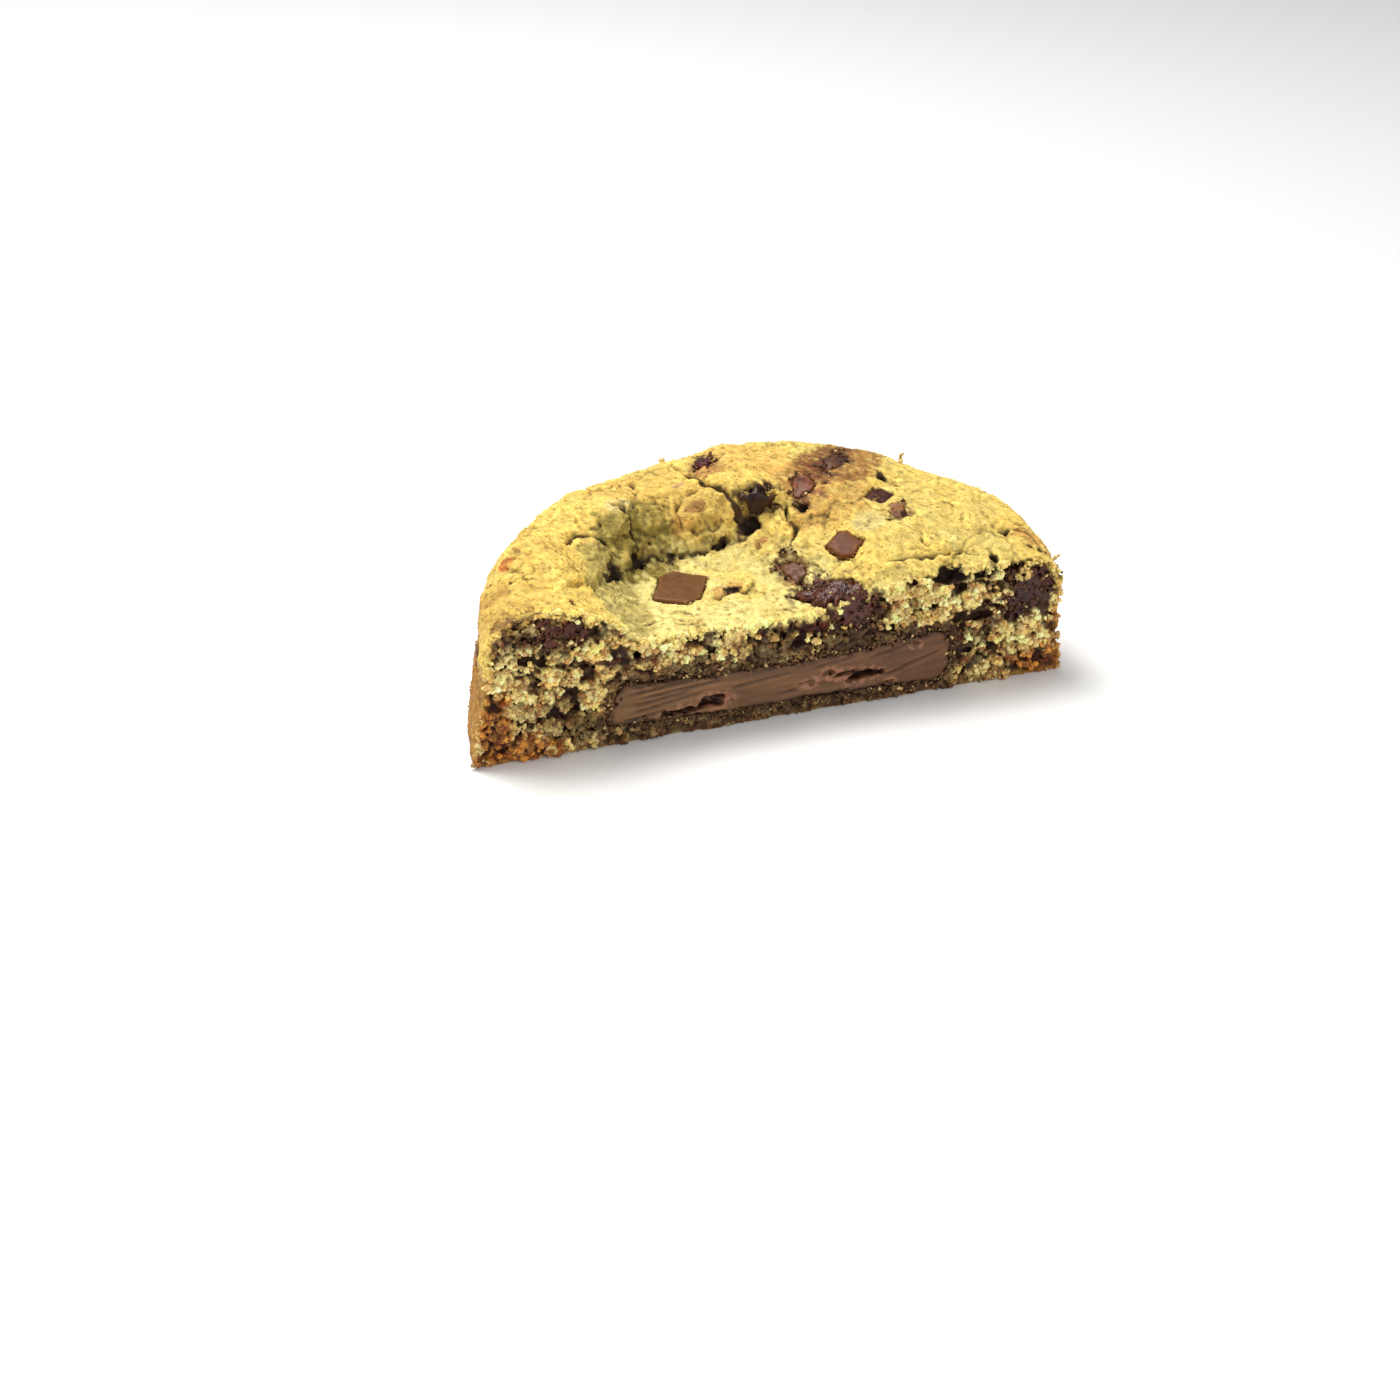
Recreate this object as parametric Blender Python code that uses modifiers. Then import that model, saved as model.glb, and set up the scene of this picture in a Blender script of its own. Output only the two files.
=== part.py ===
"""Half of a deep, chocolate-filled chocolate chip cookie, lying on its flat base.

It is made the way the real one is: a whole round is turned, its top is given a rim, a sunken
middle, lobes and cracks, a disc of chocolate and loose chunks go in, and a knife halves it.
While it is made, the knife's plane is y = 0 and the round's axis is x = y = 0. At the end the
half is moved so that the origin is the middle of its base. Lengths are in millimetres, and MM
turns them into metres.
"""

import math

import bmesh
import bpy
import numpy as np
from mathutils import Matrix, Vector, noise

MM = 0.001

# Driving dimensions of the baked round
SHOULDER_RADIUS = 44.0
BELLY_RADIUS = 45.7
BASE_RADIUS = 44.3
CREST_RADIUS = 38.7
SHOULDER_DROP = 7.0
SUNKEN_HEIGHT = 16.9
# Height of the rim's crest, and girth as a share of the radius, at these angles in degrees from the
# knife's right end
RIM_HEIGHTS = {
    **{-30: 21.0, 0: 20.6, 9: 23.0, 22: 24.9, 40: 24.8, 60: 26.2, 86: 25.7},
    **{98: 23.9, 112: 23.6, 128: 24.6, 150: 23.8, 165: 23.6, 180: 23.2, 210: 23.0},
}
GIRTHS = {
    **{-30: 0.995, 0: 0.995, 15: 1.004, 60: 0.998, 90: 1.0},
    **{130: 0.995, 150: 1.0, 165: 1.022, 180: 1.036, 210: 1.036},
}
TURN_STEPS = 112
FIRST_STEP = 0.37  # share of a step by which turned pieces start off the knife's plane
TOP_RING_STEP = 1.75
SHOULDER_RINGS = 6
SIDE_RINGS = 9

# The crack that runs along the foot of the raised back lobe, and the one that splits that lobe from the rim
FOOT_CRACK = [
    *[(-27.4, 11.0), (-24.8, 13.6), (-22.4, 15.4), (-19.8, 16.8), (-17.8, 19.0)],
    *[(-16.2, 20.4), (-12.8, 20.1), (-8.6, 20.6), (-3.8, 21.4), (1.0, 21.6)],
]
SPLIT_CRACK = [
    *[(-5.6, 38.0), (-4.9, 35.6), (-4.1, 31.9), (-3.7, 27.8)],
    *[(-1.8, 25.6), (-0.6, 23.1), (1.6, 21.4)],
]
SIDE_CREASE = [(5.4, 14.6), (6.4, 17.2), (6.2, 19.6)]
RIM_CREASE = [(34.4, 5.0), (36.7, 5.7), (39.4, 6.6)]
LOBE_RISE = 3.3
LOBE_FOLD_X = -23.8
LOBE_FOLD_SLANT = 0.32

# The chocolate disc
FILLING_RADIUS = 26.6
FILLING_OFFSET_X = -0.7
FILLING_OFFSET_Y = 0.45
FILLING_SLANT = 2.2  # how much further the disc's lower edge reaches at its left
FILLING_LOW = 2.6
FILLING_HIGH = 9.6

# The knife and the gaps that touching pieces keep
CUT_STEP = 1.25
CUT_RELIEF = 0.75
GAP = 0.34
WELD_DISTANCE = 0.01
KNIFE_REACH = 62.0

# Chunks in the top crust: x, y, how far the centre lies under the crust, size along their own x, y and z,
# and turn about z, tilt about x and tilt about y in degrees
TOP_BLOCKS = {
    "chunk_middle": (-12.8, 13.2, 1.5, (8.6, 6.8, 4.2), (62, 2, -3)),
    "chunk_right": (12.0, 9.8, 1.55, (3.8, 4.6, 4.0), (25, 2, -16)),
    "chunk_pit": (20.9, 18.2, 1.6, (3.8, 2.9, 3.0), (38, 6, -10)),
}
TOP_MELTS = {
    "melt_streak": (4.3, 11.8, 0.5, (2.8, 6.2, 2.8), (19, 4, 6)),
    "melt_crack": (2.2, 22.0, 1.5, (5.2, 4.6, 3.8), (-12, 20, 0)),
    "melt_back": (18.0, 28.9, 0.7, (6.8, 3.4, 3.0), (34, -10, 0)),
    "melt_rim": (-0.9, 35.6, 0.6, (3.2, 3.0, 3.0), (0, -10, 0)),
    "melt_speckled": (10.7, 23.0, 0.5, (3.2, 6.0, 2.8), (-37, 4, -10)),
    "melt_slope": (21.4, 12.9, 0.5, (2.0, 4.2, 2.4), (-27, 4, -4)),
}
# Chunks that the knife went through: x, z, how far behind the knife their centre lies, size and turns
CUT_MELTS = {
    "melt_front": (8.6, 16.5, 2.7, (12.0, 6.6, 5.8), (-33, 10, 10)),
    "melt_cut_right": (38.2, 15.2, 1.2, (9.4, 6.0, 7.4), (0, 0, -24)),
    "melt_cut_left": (-36.0, 20.4, 0.6, (8.4, 4.6, 3.6), (0, 0, 14)),
}
# Chunks in the baked side: angle from the knife's right end, height of the centre, how far it lies in,
# size and turns
SIDE_BLOCKS = {
    "chunk_side_a": (168.5, 13.2, 1.0, (2.6, 3.0, 3.2), (0, 5, 0)),
    "chunk_side_b": (134.0, 14.6, 1.65, (4.2, 5.6, 6.0), (0, 12, 4)),
    "chunk_side_c": (112.0, 7.2, 1.5, (3.8, 6.6, 4.6), (0, 20, 4)),
    "chunk_side_d": (86.0, 14.2, 1.5, (3.8, 5.0, 5.6), (0, 34, 0)),
    "chunk_side_e": (59.0, 7.6, 1.7, (4.2, 6.8, 5.2), (0, -15, 3)),
    "chunk_side_f": (33.0, 13.0, 1.6, (4.0, 4.6, 5.0), (0, 24, 0)),
}
# Torn hollows that show in the chocolate's cut face: centre, size and turns
FILLING_HOLLOWS = {
    "hollow_right": ((9.9, -0.2, 5.6), (7.2, 5.6, 1.6), (0, 0, -6)),
    "hollow_left": ((-13.4, -0.2, 3.7), (8.0, 4.6, 1.2), (0, 0, -3)),
}
# Open pits in the crust: x, y, how far the centre lies under the crust, and size
PITS = {
    "pit_foot": (-22.6, 15.6, 1.0, (2.8, 2.4, 4.4)),
    "pit_edge": (25.4, 0.8, 0.6, (5.6, 3.8, 3.0)),
    "pit_edge_small": (31.2, 1.4, 0.5, (1.8, 2.4, 2.4)),
    "pit_dot": (8.6, 18.4, 0.5, (1.6, 1.6, 2.8)),
}

CRUST_COLOUR = (0.62, 0.37, 0.12)
FILLING_COLOUR = (0.165, 0.098, 0.058)
CHUNK_COLOUR = (0.19, 0.095, 0.045)
MELT_COLOUR = (0.075, 0.030, 0.016)


def clear_scene():
    for obj in list(bpy.data.objects):
        bpy.data.objects.remove(obj)


def new_collection(name):
    collection = bpy.data.collections.new(name)
    bpy.context.scene.collection.children.link(collection)
    return collection


def material(name, colour, roughness):
    made = bpy.data.materials.new(name)
    made.use_nodes = True
    shader = made.node_tree.nodes["Principled BSDF"]
    shader.inputs["Base Color"].default_value = (*colour, 1)
    shader.inputs["Roughness"].default_value = roughness
    shader.inputs["Metallic"].default_value = 0
    return made


def smooth(t):
    t = np.clip(t, 0, 1)
    return t * t * (3 - 2 * t)


def mix(a, b, t):
    return a + (b - a) * t


def by_angle(table, x, y):
    """The table's value at the angle of each point, seen from the axis."""
    angle = np.degrees(np.arctan2(y, x))
    angle = np.where(angle < -90, angle + 360, angle)
    return np.interp(np.clip(angle, min(table), max(table)), list(table), list(table.values()))


def crack_distance(x, y, line):
    """How far each point is from the line, and on which side: 1 on its left, -1 on its right."""
    nearest = np.full(np.shape(x), 1e9)
    side = np.zeros(np.shape(x))
    for (ax, ay), (bx, by) in zip(line[:-1], line[1:]):
        dx, dy = bx - ax, by - ay
        share = np.clip(((x - ax) * dx + (y - ay) * dy) / (dx * dx + dy * dy), 0, 1)
        away = np.hypot(x - ax - share * dx, y - ay - share * dy)
        closer = away < nearest
        side = np.where(closer, np.sign(dx * (y - ay) - dy * (x - ax)), side)
        nearest = np.where(closer, away, nearest)
    return nearest, side


def top_height(x, y):
    """The height of the top crust over a point of the base."""
    radius = np.hypot(x, y)
    angle = np.degrees(np.arctan2(y, x))
    angle = np.where(angle < -90, angle + 360, angle)
    leftness = smooth((angle - 20) / 130)
    rise_starts = mix(2.0, 21.0, leftness)
    rise_ends = mix(22.0, 36.5, leftness)
    risen = smooth((radius - rise_starts) / (rise_ends - rise_starts))
    height = mix(SUNKEN_HEIGHT, by_angle(RIM_HEIGHTS, x, y), risen)
    away, side = crack_distance(x, y, FOOT_CRACK)
    lobe_ends = smooth((8 - x) / 6) * smooth((x + 29) / 12)
    over_lobe = smooth(away / 1.2) * np.exp(-((away / 9.0) ** 2)) * lobe_ends
    height += np.where(side > 0, LOBE_RISE * over_lobe, -1.0 * np.exp(-((away / 6.0) ** 2)))
    behind_fold = LOBE_FOLD_X - LOBE_FOLD_SLANT * y - x
    fold = smooth(behind_fold / 2.6) * smooth((22 - y) / 5) * smooth((y + 6) / 3)
    height += 1.8 * fold * np.exp(-(((behind_fold - 4.0) / 6.5) ** 2))
    past_crest = np.clip((radius - CREST_RADIUS) / (SHOULDER_RADIUS - CREST_RADIUS), 0, 1)
    return height - SHOULDER_DROP * (1 - np.sqrt(np.clip(1 - past_crest**2, 0, 1)))


def grain(point, size, seed):
    """Smooth noise of about -1 to 1 whose lumps are this many millimetres across."""
    return noise.noise(Vector(point) / size + Vector((seed, 2.7 * seed, -1.3 * seed)))


def crust_lift(point):
    """How far the crust's lumps stand out at a point of it."""
    return 0.55 * grain(point, 7.5, 3) + 0.3 * grain(point, 3.2, 8)


def side_radius(height_share):
    """The side's radius, by share of the shoulder's height."""
    return SHOULDER_RADIUS + smooth(1 - height_share) * (BELLY_RADIUS - SHOULDER_RADIUS)


def add_mesh(name, bm, collection):
    mesh = bpy.data.meshes.new(name)
    bm.to_mesh(mesh)
    bm.free()
    obj = bpy.data.objects.new(name, mesh)
    collection.objects.link(obj)
    return obj


def turned(name, profile, steps, collection):
    """A round solid: the profile, from the axis down the outer side and back, turned by a Screw."""
    bm = bmesh.new()
    points = [bm.verts.new((r * MM, 0, z * MM)) for r, z in profile]
    for one, other in zip(points[:-1], points[1:]):
        bm.edges.new((one, other))
    outline = add_mesh(name + "_profile", bm, collection)
    screw = outline.modifiers.new("Turn", "SCREW")
    screw.steps = screw.render_steps = steps
    screw.use_merge_vertices = True
    screw.merge_threshold = 0.0001 * 0.5
    graph = bpy.context.evaluated_depsgraph_get()
    mesh = bpy.data.meshes.new_from_object(outline.evaluated_get(graph))
    bpy.data.objects.remove(outline)
    mesh.transform(Matrix.Rotation(FIRST_STEP * 2 * math.pi / steps, 4, "Z"))
    obj = bpy.data.objects.new(name, mesh)
    collection.objects.link(obj)
    return obj


def face_out(bm):
    """Makes the faces agree and point out of the solid, and cuts them into triangles."""
    bmesh.ops.recalc_face_normals(bm, faces=bm.faces)
    bmesh.ops.triangulate(bm, faces=bm.faces)
    if bm.calc_volume(signed=True) < 0:
        bmesh.ops.reverse_faces(bm, faces=bm.faces)
    bm.normal_update()


def triangulate(obj):
    bm = bmesh.new()
    bm.from_mesh(obj.data)
    face_out(bm)
    bm.to_mesh(obj.data)
    bm.free()


def round_blank(collection):
    """The round before it bakes: a flat-topped disc whose rings lie where the relief needs them."""
    top = [(r, 25.0) for r in np.arange(0, CREST_RADIUS - 0.5, TOP_RING_STEP)]
    turns = np.linspace(0, math.pi / 2, SHOULDER_RINGS + 1)
    bend = SHOULDER_RADIUS - CREST_RADIUS
    top += [(CREST_RADIUS + bend * math.sin(t), 25.0) for t in turns[:-1]]
    side = []
    for share in np.linspace(1, 0.1, SIDE_RINGS):
        side.append((float(side_radius(share)), share))
    foot = [(BASE_RADIUS + 0.9, 0.03), (BASE_RADIUS, 0.0), (30.0, 0.0), (12.0, 0.0), (0.0, 0.0)]
    return turned("cookie", top + side + foot, TURN_STEPS, collection)


def bake(obj):
    """Gives the blank its rim, sunken top, lobes and uneven girth.

    Until then the side's rings hold their share of the shoulder's height as z."""
    count = len(obj.data.vertices)
    flat = np.empty(count * 3, np.float32)
    obj.data.vertices.foreach_get("co", flat)
    x, y, z = (flat.reshape(-1, 3) / MM).T.astype(float)
    on_top = z > 2.0
    radius = np.maximum(np.hypot(x, y), 1e-9)
    shoulder = top_height(x / radius * SHOULDER_RADIUS, y / radius * SHOULDER_RADIUS)
    height = np.where(on_top, top_height(x, y), z * shoulder)
    girth = by_angle(GIRTHS, x, y)
    girth = mix(1, girth, smooth(radius / SHOULDER_RADIUS))
    x, y = x * girth, y * girth
    moved = np.stack([x, y, height], axis=1)
    for i, point in enumerate(moved):
        lift = crust_lift(point)
        if on_top[i]:
            point[2] += lift * float(smooth(radius[i] / 3))
        if radius[i] > CREST_RADIUS and height[i] > 1.0:
            point[:2] *= 1 + 0.9 * lift / radius[i]
    obj.data.vertices.foreach_set("co", (moved * MM).astype(np.float32).ravel())
    triangulate(obj)


def crack_cutter(name, line, width, depth, lean, cutters):
    """A wedge that follows a line on the crust: widest halfway, point down, and leaning to one side."""
    wedge = bpy.data.curves.new(name + "_section", "CURVE")
    section = wedge.splines.new("POLY")
    section.points.add(2)
    for point, (u, v) in zip(section.points, [(-0.5, 1.6), (lean, -depth), (0.5, 1.6)]):
        point.co = (u * MM, v * MM, 0, 1)
    section.use_cyclic_u = True
    section_object = bpy.data.objects.new(name + "_section", wedge)
    cutters.objects.link(section_object)
    curve = bpy.data.curves.new(name, "CURVE")
    curve.dimensions = "3D"
    curve.twist_mode = "Z_UP"
    curve.bevel_mode = "OBJECT"
    curve.bevel_object = section_object
    curve.use_fill_caps = True
    spline = curve.splines.new("POLY")
    spline.points.add(len(line) - 1)
    for i, (point, (x, y)) in enumerate(zip(spline.points, line)):
        ragged = 0.75 + 0.5 * noise.noise(Vector((x, y, 0)) / 2.1)
        point.co = (x * MM, y * MM, float(top_height(np.array(x), np.array(y))) * MM, 1)
        point.radius = width * max(0.35, ragged * math.sin(math.pi * (i + 0.6) / (len(line) + 0.2)))
    route = bpy.data.objects.new(name, curve)
    cutters.objects.link(route)
    made = as_mesh(route, name)
    bpy.data.objects.remove(section_object)
    return made


def as_mesh(curve_object, name):
    """The curve's solid as a closed mesh object in its place."""
    graph = bpy.context.evaluated_depsgraph_get()
    mesh = bpy.data.meshes.new_from_object(curve_object.evaluated_get(graph))
    bm = bmesh.new()
    bm.from_mesh(mesh)
    bmesh.ops.remove_doubles(bm, verts=bm.verts, dist=1e-6)
    face_out(bm)
    bm.to_mesh(mesh)
    bm.free()
    obj = bpy.data.objects.new(name, mesh)
    obj.matrix_world = curve_object.matrix_world
    curve_object.users_collection[0].objects.link(obj)
    bpy.data.objects.remove(curve_object)
    obj.name = name
    return obj


def smoothed_line(line, spacing):
    """Points this far apart on a smooth curve through the line's points."""
    points = [Vector((x, y, 0)) for x, y in line]
    ends = [2 * points[0] - points[1], *points, 2 * points[-1] - points[-2]]
    made = []
    for p0, p1, p2, p3 in zip(ends, ends[1:], ends[2:], ends[3:]):
        pieces = max(1, round((p2 - p1).length / spacing))
        for k in range(pieces):
            t = k / pieces
            bend = (2 * p0 - 5 * p1 + 4 * p2 - p3) * t**2 + (3 * p1 - p0 - 3 * p2 + p3) * t**3
            at = p1 + ((p2 - p0) * t + bend) / 2
            made.append((at.x, at.y))
    return [*made, line[-1]]


def rough_knife(cutters):
    """A block in front of the cut, whose back face is rugged, so that it leaves torn crumb.

    It is smooth round the chocolate."""
    bm = bmesh.new()
    wide, tall = 104.0, 40.0
    across, up = round(wide / CUT_STEP), round(tall / CUT_STEP)
    bmesh.ops.create_grid(bm, x_segments=across, y_segments=up, size=0.5)
    for v in bm.verts:
        x, z = v.co.x * wide, v.co.y * tall + 12.0
        inside = abs(v.co.x) < 0.499 and abs(v.co.y) < 0.499
        if inside:
            x += 0.38 * grain((x, 0, z), 1.7, 21)
            z += 0.38 * grain((x, 0, z), 1.7, 33)
        y = 0.0
        if inside:
            lumps = 1.0 * grain((x, 0, z), 4.6, 5) + 0.9 * grain((x, 0, z), 1.9, 12)
            from_filling = max(abs(x - FILLING_OFFSET_X) - FILLING_RADIUS, abs(z - 6.1) - 4.0, 0.0)
            y = CUT_RELIEF * lumps * float(smooth(np.array(from_filling / 2.5)))
        v.co = (x * MM, y * MM, z * MM)
    front = bmesh.ops.extrude_edge_only(bm, edges=[e for e in bm.edges if e.is_boundary])
    for v in [v for v in front["geom"] if isinstance(v, bmesh.types.BMVert)]:
        v.co.y = -KNIFE_REACH * MM
    bmesh.ops.holes_fill(bm, edges=[e for e in bm.edges if e.is_boundary])
    face_out(bm)
    return add_mesh("rough_knife", bm, cutters)


def flat_knife(cutters):
    """The clean cut that the blade leaves in chocolate: a block whose back face is the plane y = 0."""
    bpy.ops.mesh.primitive_cube_add(size=1)
    knife = bpy.context.object
    knife.name = "flat_knife"
    knife.data.transform(Matrix.Diagonal((110 * MM, KNIFE_REACH * MM, 60 * MM, 1)))
    knife.location = (0, -KNIFE_REACH / 2 * MM, 12 * MM)
    move_to(knife, cutters)
    return knife


def move_to(obj, collection):
    for old in list(obj.users_collection):
        old.objects.unlink(obj)
    collection.objects.link(obj)


def filling_disc(collection):
    """The chocolate disc, thicker towards its right and lower at its left, with soft edges."""
    low, high, wide = FILLING_LOW, FILLING_HIGH, FILLING_RADIUS
    profile = [(0, high), (8, high), (16, high), (22, high)]
    profile += [(wide - 2.2, high - 0.15), (wide - 0.9, high - 0.7), (wide - 0.2, high - 1.9)]
    profile += [(wide, (low + high) / 2), (wide, low + 1.6), (wide - 0.5, low + 0.5)]
    profile += [(wide - 1.6, low), (20, low), (10, low), (0, low)]
    disc = turned("filling", profile, 64, collection)
    for v in disc.data.vertices:
        x, y, z = v.co / MM
        across = x / FILLING_RADIUS
        share = (z - low) / (high - low)
        z += share * (0.9 * max(across, 0) ** 2 - 0.5 * math.cos(1.9 * across))
        z += (1 - share) * 0.9 * max(-across, 0) ** 2
        z -= (1 - share) * 0.9 * max(across, 0) ** 2
        z += 0.35 * share * grain((x, y, 0), 6, 4)
        wobble = 1 + 0.02 * grain((x, y, 0), 14, 9)
        x += (share - 0.5) * FILLING_SLANT * max(-across, 0) ** 4
        v.co = Vector((x * wobble + FILLING_OFFSET_X, y * wobble + FILLING_OFFSET_Y, z)) * MM
    triangulate(disc)
    return disc


def cube_chunk(name, size, collection):
    """A broken block of chocolate: a cube with uneven corners and worn edges."""
    bpy.ops.mesh.primitive_cube_add(size=1)
    chunk = bpy.context.object
    chunk.name = name
    for v in chunk.data.vertices:
        uneven = [1 + 0.34 * grain(v.co * 3 + Vector((k, 0, 0)), 1.3, len(name) + 5 * k) for k in range(3)]
        v.co = Vector(c * s * u * MM for c, s, u in zip(v.co, size, uneven))
    bevel = chunk.modifiers.new("Worn edges", "BEVEL")
    bevel.width = 0.1 * min(size) * MM
    bevel.segments = 1
    chunk.modifiers.new("Facets", "TRIANGULATE")
    move_to(chunk, collection)
    return chunk


def melted_chunk(name, size, collection):
    """A chunk that has run in the oven: a flattened ball with a lumpy outline."""
    bpy.ops.mesh.primitive_ico_sphere_add(subdivisions=2, radius=0.5)
    chunk = bpy.context.object
    chunk.name = name
    for v in chunk.data.vertices:
        swell = 1 + 0.42 * grain(v.co, 0.45, len(name))
        v.co = Vector(c * s * swell * MM for c, s in zip(v.co, size))
    move_to(chunk, collection)
    return chunk


def place(obj, centre, turns):
    obj.location = Vector(centre) * MM
    turn, tilt_x, tilt_y = (math.radians(a) for a in turns)
    obj.rotation_euler = (tilt_x, tilt_y, turn)
    bpy.context.view_layer.update()


def top_place(x, y, under, turns):
    height = float(top_height(np.array(x), np.array(y)))
    return (x, y, height + crust_lift((x, y, height)) - under), turns


def cut_place(x, z, behind, turns):
    return (x, behind, z), turns


def side_place(angle, height, inwards, turns):
    """A place on the baked side, turned so that its own x points out of the cookie."""
    a = math.radians(angle)
    out = np.array([math.cos(a), math.sin(a)])
    shoulder = float(top_height(*(out * SHOULDER_RADIUS)))
    radius = float(side_radius(height / shoulder) * by_angle(GIRTHS, *out))
    at = out * radius
    at *= 1 + 0.9 * crust_lift((*at, height)) / radius - inwards / radius
    return (*at, height), (angle + turns[0], *turns[1:])


def grown_copy(obj, gap, cutters):
    """A cutter of the object's present shape, larger by the gap all round."""
    graph = bpy.context.evaluated_depsgraph_get()
    mesh = bpy.data.meshes.new_from_object(obj.evaluated_get(graph))
    bm = bmesh.new()
    bm.from_mesh(mesh)
    bm.transform(obj.matrix_world)
    face_out(bm)
    pushes = [(v, v.normal * gap * MM * v.calc_shell_factor()) for v in bm.verts]
    for v, push in pushes:
        v.co += push
    return add_mesh(obj.name + "_pocket", bm, cutters)


def hollow_cutter(name, centre, size, turns, cutters):
    """A lumpy flattened ball, for a torn hollow or an open pit."""
    made = melted_chunk(name, size, cutters)
    place(made, centre, turns)
    return made


def subtract(obj, cutters, solver="EXACT"):
    """One Boolean for each cutter."""
    for cutter in cutters:
        cut = obj.modifiers.new("Cut " + cutter.name, "BOOLEAN")
        cut.operation = "DIFFERENCE"
        cut.solver = solver
        cut.object = cutter


def weld(obj, distance):
    """Draws together points that the Booleans leave next to each other, and splits bent faces."""
    merge = obj.modifiers.new("Merge", "WELD")
    merge.merge_threshold = distance * MM
    obj.modifiers.new("Facets", "TRIANGULATE")


def hide_cutters(cutters):
    for cutter in cutters.objects:
        cutter.hide_render = True
        cutter.display_type = "WIRE"


def rest_on_origin(pieces):
    """Moves everything so that the middle of the half's base is the origin."""
    bpy.context.view_layer.update()
    graph = bpy.context.evaluated_depsgraph_get()
    corners = []
    for piece in pieces:
        shown = piece.evaluated_get(graph)
        mesh = shown.to_mesh()
        corners += [shown.matrix_world @ v.co for v in mesh.vertices]
        shown.to_mesh_clear()
    lows = [min(c[k] for c in corners) for k in range(3)]
    highs = [max(c[k] for c in corners) for k in range(3)]
    shift = Vector((-(lows[0] + highs[0]) / 2, -(lows[1] + highs[1]) / 2, -lows[2]))
    for obj in bpy.data.objects:
        obj.location += shift


def main():
    clear_scene()
    cookie_parts = new_collection("stuffed_cookie_half")
    cutters = new_collection("cutters")

    cookie = round_blank(cookie_parts)
    bake(cookie)
    cookie.data.materials.append(material("crust", CRUST_COLOUR, 0.8))

    smooth_cut = flat_knife(cutters)
    filling = filling_disc(cookie_parts)
    filling.data.materials.append(material("filling", FILLING_COLOUR, 0.45))
    pockets = [grown_copy(filling, GAP, cutters)]
    hollows = [hollow_cutter(name, *shape, cutters) for name, shape in FILLING_HOLLOWS.items()]
    subtract(filling, [smooth_cut, *hollows])

    chunk_material = material("chunk", CHUNK_COLOUR, 0.4)
    melt_material = material("melted_chunk", MELT_COLOUR, 0.25)
    kinds = (
        (TOP_BLOCKS, cube_chunk, top_place, chunk_material),
        (SIDE_BLOCKS, cube_chunk, side_place, chunk_material),
        (TOP_MELTS, melted_chunk, top_place, melt_material),
        (CUT_MELTS, melted_chunk, cut_place, melt_material),
    )
    chunks = []
    for table, make, placing, look in kinds:
        for name, (across, along, depth, size, turns) in table.items():
            chunk = make(name, size, cookie_parts)
            place(chunk, *placing(across, along, depth, turns))
            chunk.data.materials.append(look)
            pockets.append(grown_copy(chunk, GAP, cutters))
            if placing is cut_place:
                subtract(chunk, [smooth_cut])
            chunks.append(chunk)

    cracks = [
        crack_cutter("foot_crack", smoothed_line(FOOT_CRACK, 1.6), 2.2, 2.6, 0.9, cutters),
        crack_cutter("split_crack", smoothed_line(SPLIT_CRACK, 1.6), 1.5, 1.8, 0.0, cutters),
        crack_cutter("side_crease", smoothed_line(SIDE_CREASE, 1.6), 1.0, 1.4, 0.0, cutters),
        crack_cutter("rim_crease", smoothed_line(RIM_CREASE, 1.6), 1.2, 1.2, 0.0, cutters),
    ]
    pits = []
    for name, (x, y, under, size) in PITS.items():
        pits.append(hollow_cutter(name, top_place(x, y, under, None)[0], size, (0, 0, 0), cutters))
    subtract(cookie, [rough_knife(cutters), *pockets, *cracks, *pits], solver="MANIFOLD")
    weld(cookie, WELD_DISTANCE)

    for piece in (cookie, filling, *chunks):
        piece.data.shade_smooth()
    hide_cutters(cutters)
    rest_on_origin([cookie, filling, *chunks])


main()
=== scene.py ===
import math

import bmesh
import bpy
import numpy as np
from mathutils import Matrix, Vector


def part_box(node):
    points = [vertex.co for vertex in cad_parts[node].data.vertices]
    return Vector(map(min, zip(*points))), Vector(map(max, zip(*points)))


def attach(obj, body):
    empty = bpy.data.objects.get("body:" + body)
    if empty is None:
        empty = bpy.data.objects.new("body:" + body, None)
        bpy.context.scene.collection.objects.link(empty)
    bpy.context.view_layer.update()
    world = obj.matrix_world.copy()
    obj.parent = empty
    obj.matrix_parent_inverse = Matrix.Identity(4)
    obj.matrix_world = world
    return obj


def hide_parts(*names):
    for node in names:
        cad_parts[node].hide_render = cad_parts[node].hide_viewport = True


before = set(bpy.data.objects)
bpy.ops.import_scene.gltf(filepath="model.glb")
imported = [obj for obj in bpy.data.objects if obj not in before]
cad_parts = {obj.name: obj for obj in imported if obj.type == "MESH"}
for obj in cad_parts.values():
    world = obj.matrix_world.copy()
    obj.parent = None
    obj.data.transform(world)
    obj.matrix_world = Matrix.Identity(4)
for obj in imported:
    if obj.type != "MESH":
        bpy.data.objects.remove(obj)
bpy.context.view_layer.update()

import openvdb
from mathutils import Matrix, Vector

# All shapes are worked out in millimetres in the cut's own frame: x runs along the cut, the cut face is
# y = 0 with the baked side behind it, z is up, and the round's axis is x = y = 0. A point plus ORIGIN is in
# the row frame.
FILLING_LOW_X = -27.65
FILLING_CORNER = np.array(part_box("filling")[0]) * 1000
ORIGIN = np.array([FILLING_CORNER[0] - FILLING_LOW_X, FILLING_CORNER[1], 0.0])
STEP = 0.31
rng = np.random.default_rng(7)

# Noise


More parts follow.
